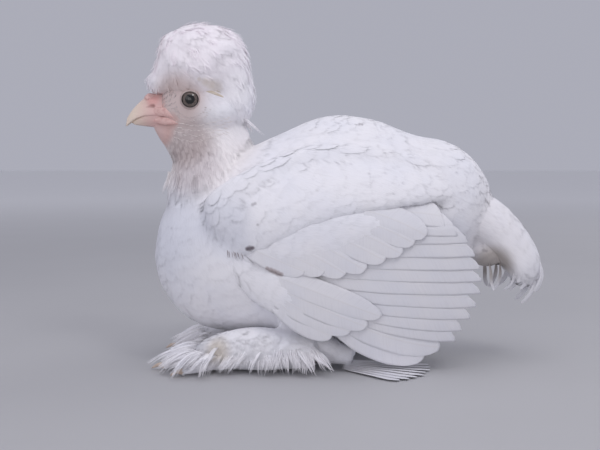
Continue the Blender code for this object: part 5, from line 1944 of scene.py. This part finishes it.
def make_eyes_and_claws():
    """Each side's eyeball, lids and claws, by name."""
    eye, lid_skin, claw = eye_material(), lid_material(), claw_material()
    pieces = {}
    for side, way in SIDES.items():
        eyeball = ball(np.array(EYE) * (1, -way, 1), (EYE_RADIUS,) * 3, 32, 48)
        pieces["eye_" + side] = joined("eyeball_" + side, eye, [eyeball])
        lids, edge = lid_surface()
        ring = Shape()
        ring.add(on_side(lids, side), edge=edge)
        pieces["lid_" + side] = ring.build("lids_" + side, lid_skin)
        claws = [on_side(claw_loft(number), side) for number in range(len(TOES))]
        pieces["claws_" + side] = joined("claws_" + side, claw, claws)
    return pieces


def make_face(skin):
    """Folds, pin feathers, bill, comb and lips, by name."""
    horn, flesh = horn_material(), flesh_material("pink_flesh", FLESH_PINK, FLESH_RED, 500.0)
    fold_skin = flesh_material("fold_skin", FOLD_CREAM, FOLD_PALE, 400.0)
    found = beside(skin)
    folds = [skin_fold(found, line, sizes) for line, sizes in FACE_FOLDS]
    lines = [(smooth_path(line, 22), smooth_path(sizes, 22)) for line, sizes in GAPE_FOLDS]
    lips = [path_tube(line, sizes, 14) for line, sizes in lines]
    upper = bill_loft(UPPER_BILL, UPPER_BILL_TIP, True)
    lower = bill_loft(LOWER_BILL, LOWER_BILL_TIP, False)
    knob = lobed(ball(COMB, COMB_HALF, 24, 36), COMB, 0.5, 5)
    return {
        "folds": joined("ear_folds", fold_skin, folds, True),
        "pins": build_pins(found, pin_material()),
        "bill_upper": joined("bill_top", horn, [upper]),
        "bill_lower": joined("bill_under", horn, [lower]),
        "comb": joined("comb_lobes", flesh, [knob]),
        "gape": joined("gape_folds", flesh, lips, True),
    }


def declare(bases, coats, pieces):
    """Hangs every piece on the root, and hides the model's nodes that the pieces stand in for."""
    for piece in (*bases.values(), *coats.values(), *pieces.values()):
        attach(piece, "root")
    fleshy = ["torso", "neck", "head"]
    fleshy += [part + "_" + side for side in SIDES for part in ("thigh", "shank", "foot")]
    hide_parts(*fleshy)
    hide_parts("crest")
    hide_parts("tail")
    for side in SIDES:
        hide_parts("wing_" + side)
        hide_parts("eye_" + side)
        claws = ["claw_%s_%d" % (side, number + 1) for number in range(len(TOES))]
        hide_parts(*claws)
    for name in ("bill_upper", "bill_lower", "comb"):
        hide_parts(name)


def main():
    """Builds the whole bird."""
    finish, vanes = tuft_material(), vane_material()
    loose = tuft_material("white_locks", 0.0, LOCK_PAINTED_GLOW)
    bases = make_bases(down_material())
    coats = grow_coats(bases, finish, loose)
    pieces = make_feathers(vanes, loose)
    pieces.update(make_eyes_and_claws())
    pieces.update(make_face(bases["skin"]))
    declare(bases, coats, pieces)


main()

# Stage, light and camera, in metres

# Half the floor's side
FLOOR_HALF = 9
corners = [(x * FLOOR_HALF, y * FLOOR_HALF, 0) for x, y in ((-1, -1), (1, -1), (1, 1), (-1, 1))]
floor_mesh = bpy.data.meshes.new("floor")
floor_mesh.from_pydata(corners, [], [(0, 1, 2, 3)])
floor_mesh.materials.append(floor_material())
placed("floor", floor_mesh)


def area_light(name, place, aim, size, watts, colour):
    """A round light at a place, which shines at another."""
    light = bpy.data.lights.new(name, "AREA")
    light.shape = "DISK"
    light.size, light.energy, light.color = size, watts, colour
    thing = placed(name, light)
    thing.location = place
    direction = Vector(aim) - Vector(place)
    thing.rotation_euler = direction.to_track_quat("-Z", "Y").to_euler()


area_light("sky", (0.1, -0.4, 1.3), (-0.02, 0.0, 0.08), 1.4, 4.4, (0.99, 0.96, 1.0))
area_light("front", (-0.9, -1.1, 0.6), (-0.05, 0.0, 0.1), 1.0, 2.0, (1.0, 0.97, 0.98))
area_light("side", (-0.3, -1.5, 0.22), (-0.03, 0.0, 0.06), 1.0, 3.3, (1.0, 0.98, 0.99))
area_light("key", (0.428, -0.674, 1.065), (-0.06, 0.0, 0.12), 0.3, 1.5, (1.0, 1.0, 1.0))
area_light("rear", (1.0, 0.7, 0.9), (0.0, 0.0, 0.1), 1.0, 2.5, (1.0, 0.98, 1.0))

world = bpy.data.worlds.new("pale_room")
world.use_nodes = True
background = world.node_tree.nodes["Background"]
background.inputs["Color"].default_value = (0.82, 0.83, 0.96, 1.0)
background.inputs["Strength"].default_value = 0.50
bpy.context.scene.world = world

lens = bpy.data.cameras.new("camera")
lens.lens, lens.sensor_width = CAMERA_LENS, 36.0
lens.clip_start, lens.clip_end = 0.01, 20.0
camera = placed("camera", lens)
camera.location = (np.array(CAMERA_AT) + ORIGIN_SHIFT) * MM
camera.rotation_euler = (math.radians(90.0 - CAMERA_PITCH), 0.0, 0.0)
bpy.context.scene.camera = camera
bpy.context.scene.view_settings.view_transform = "Standard"
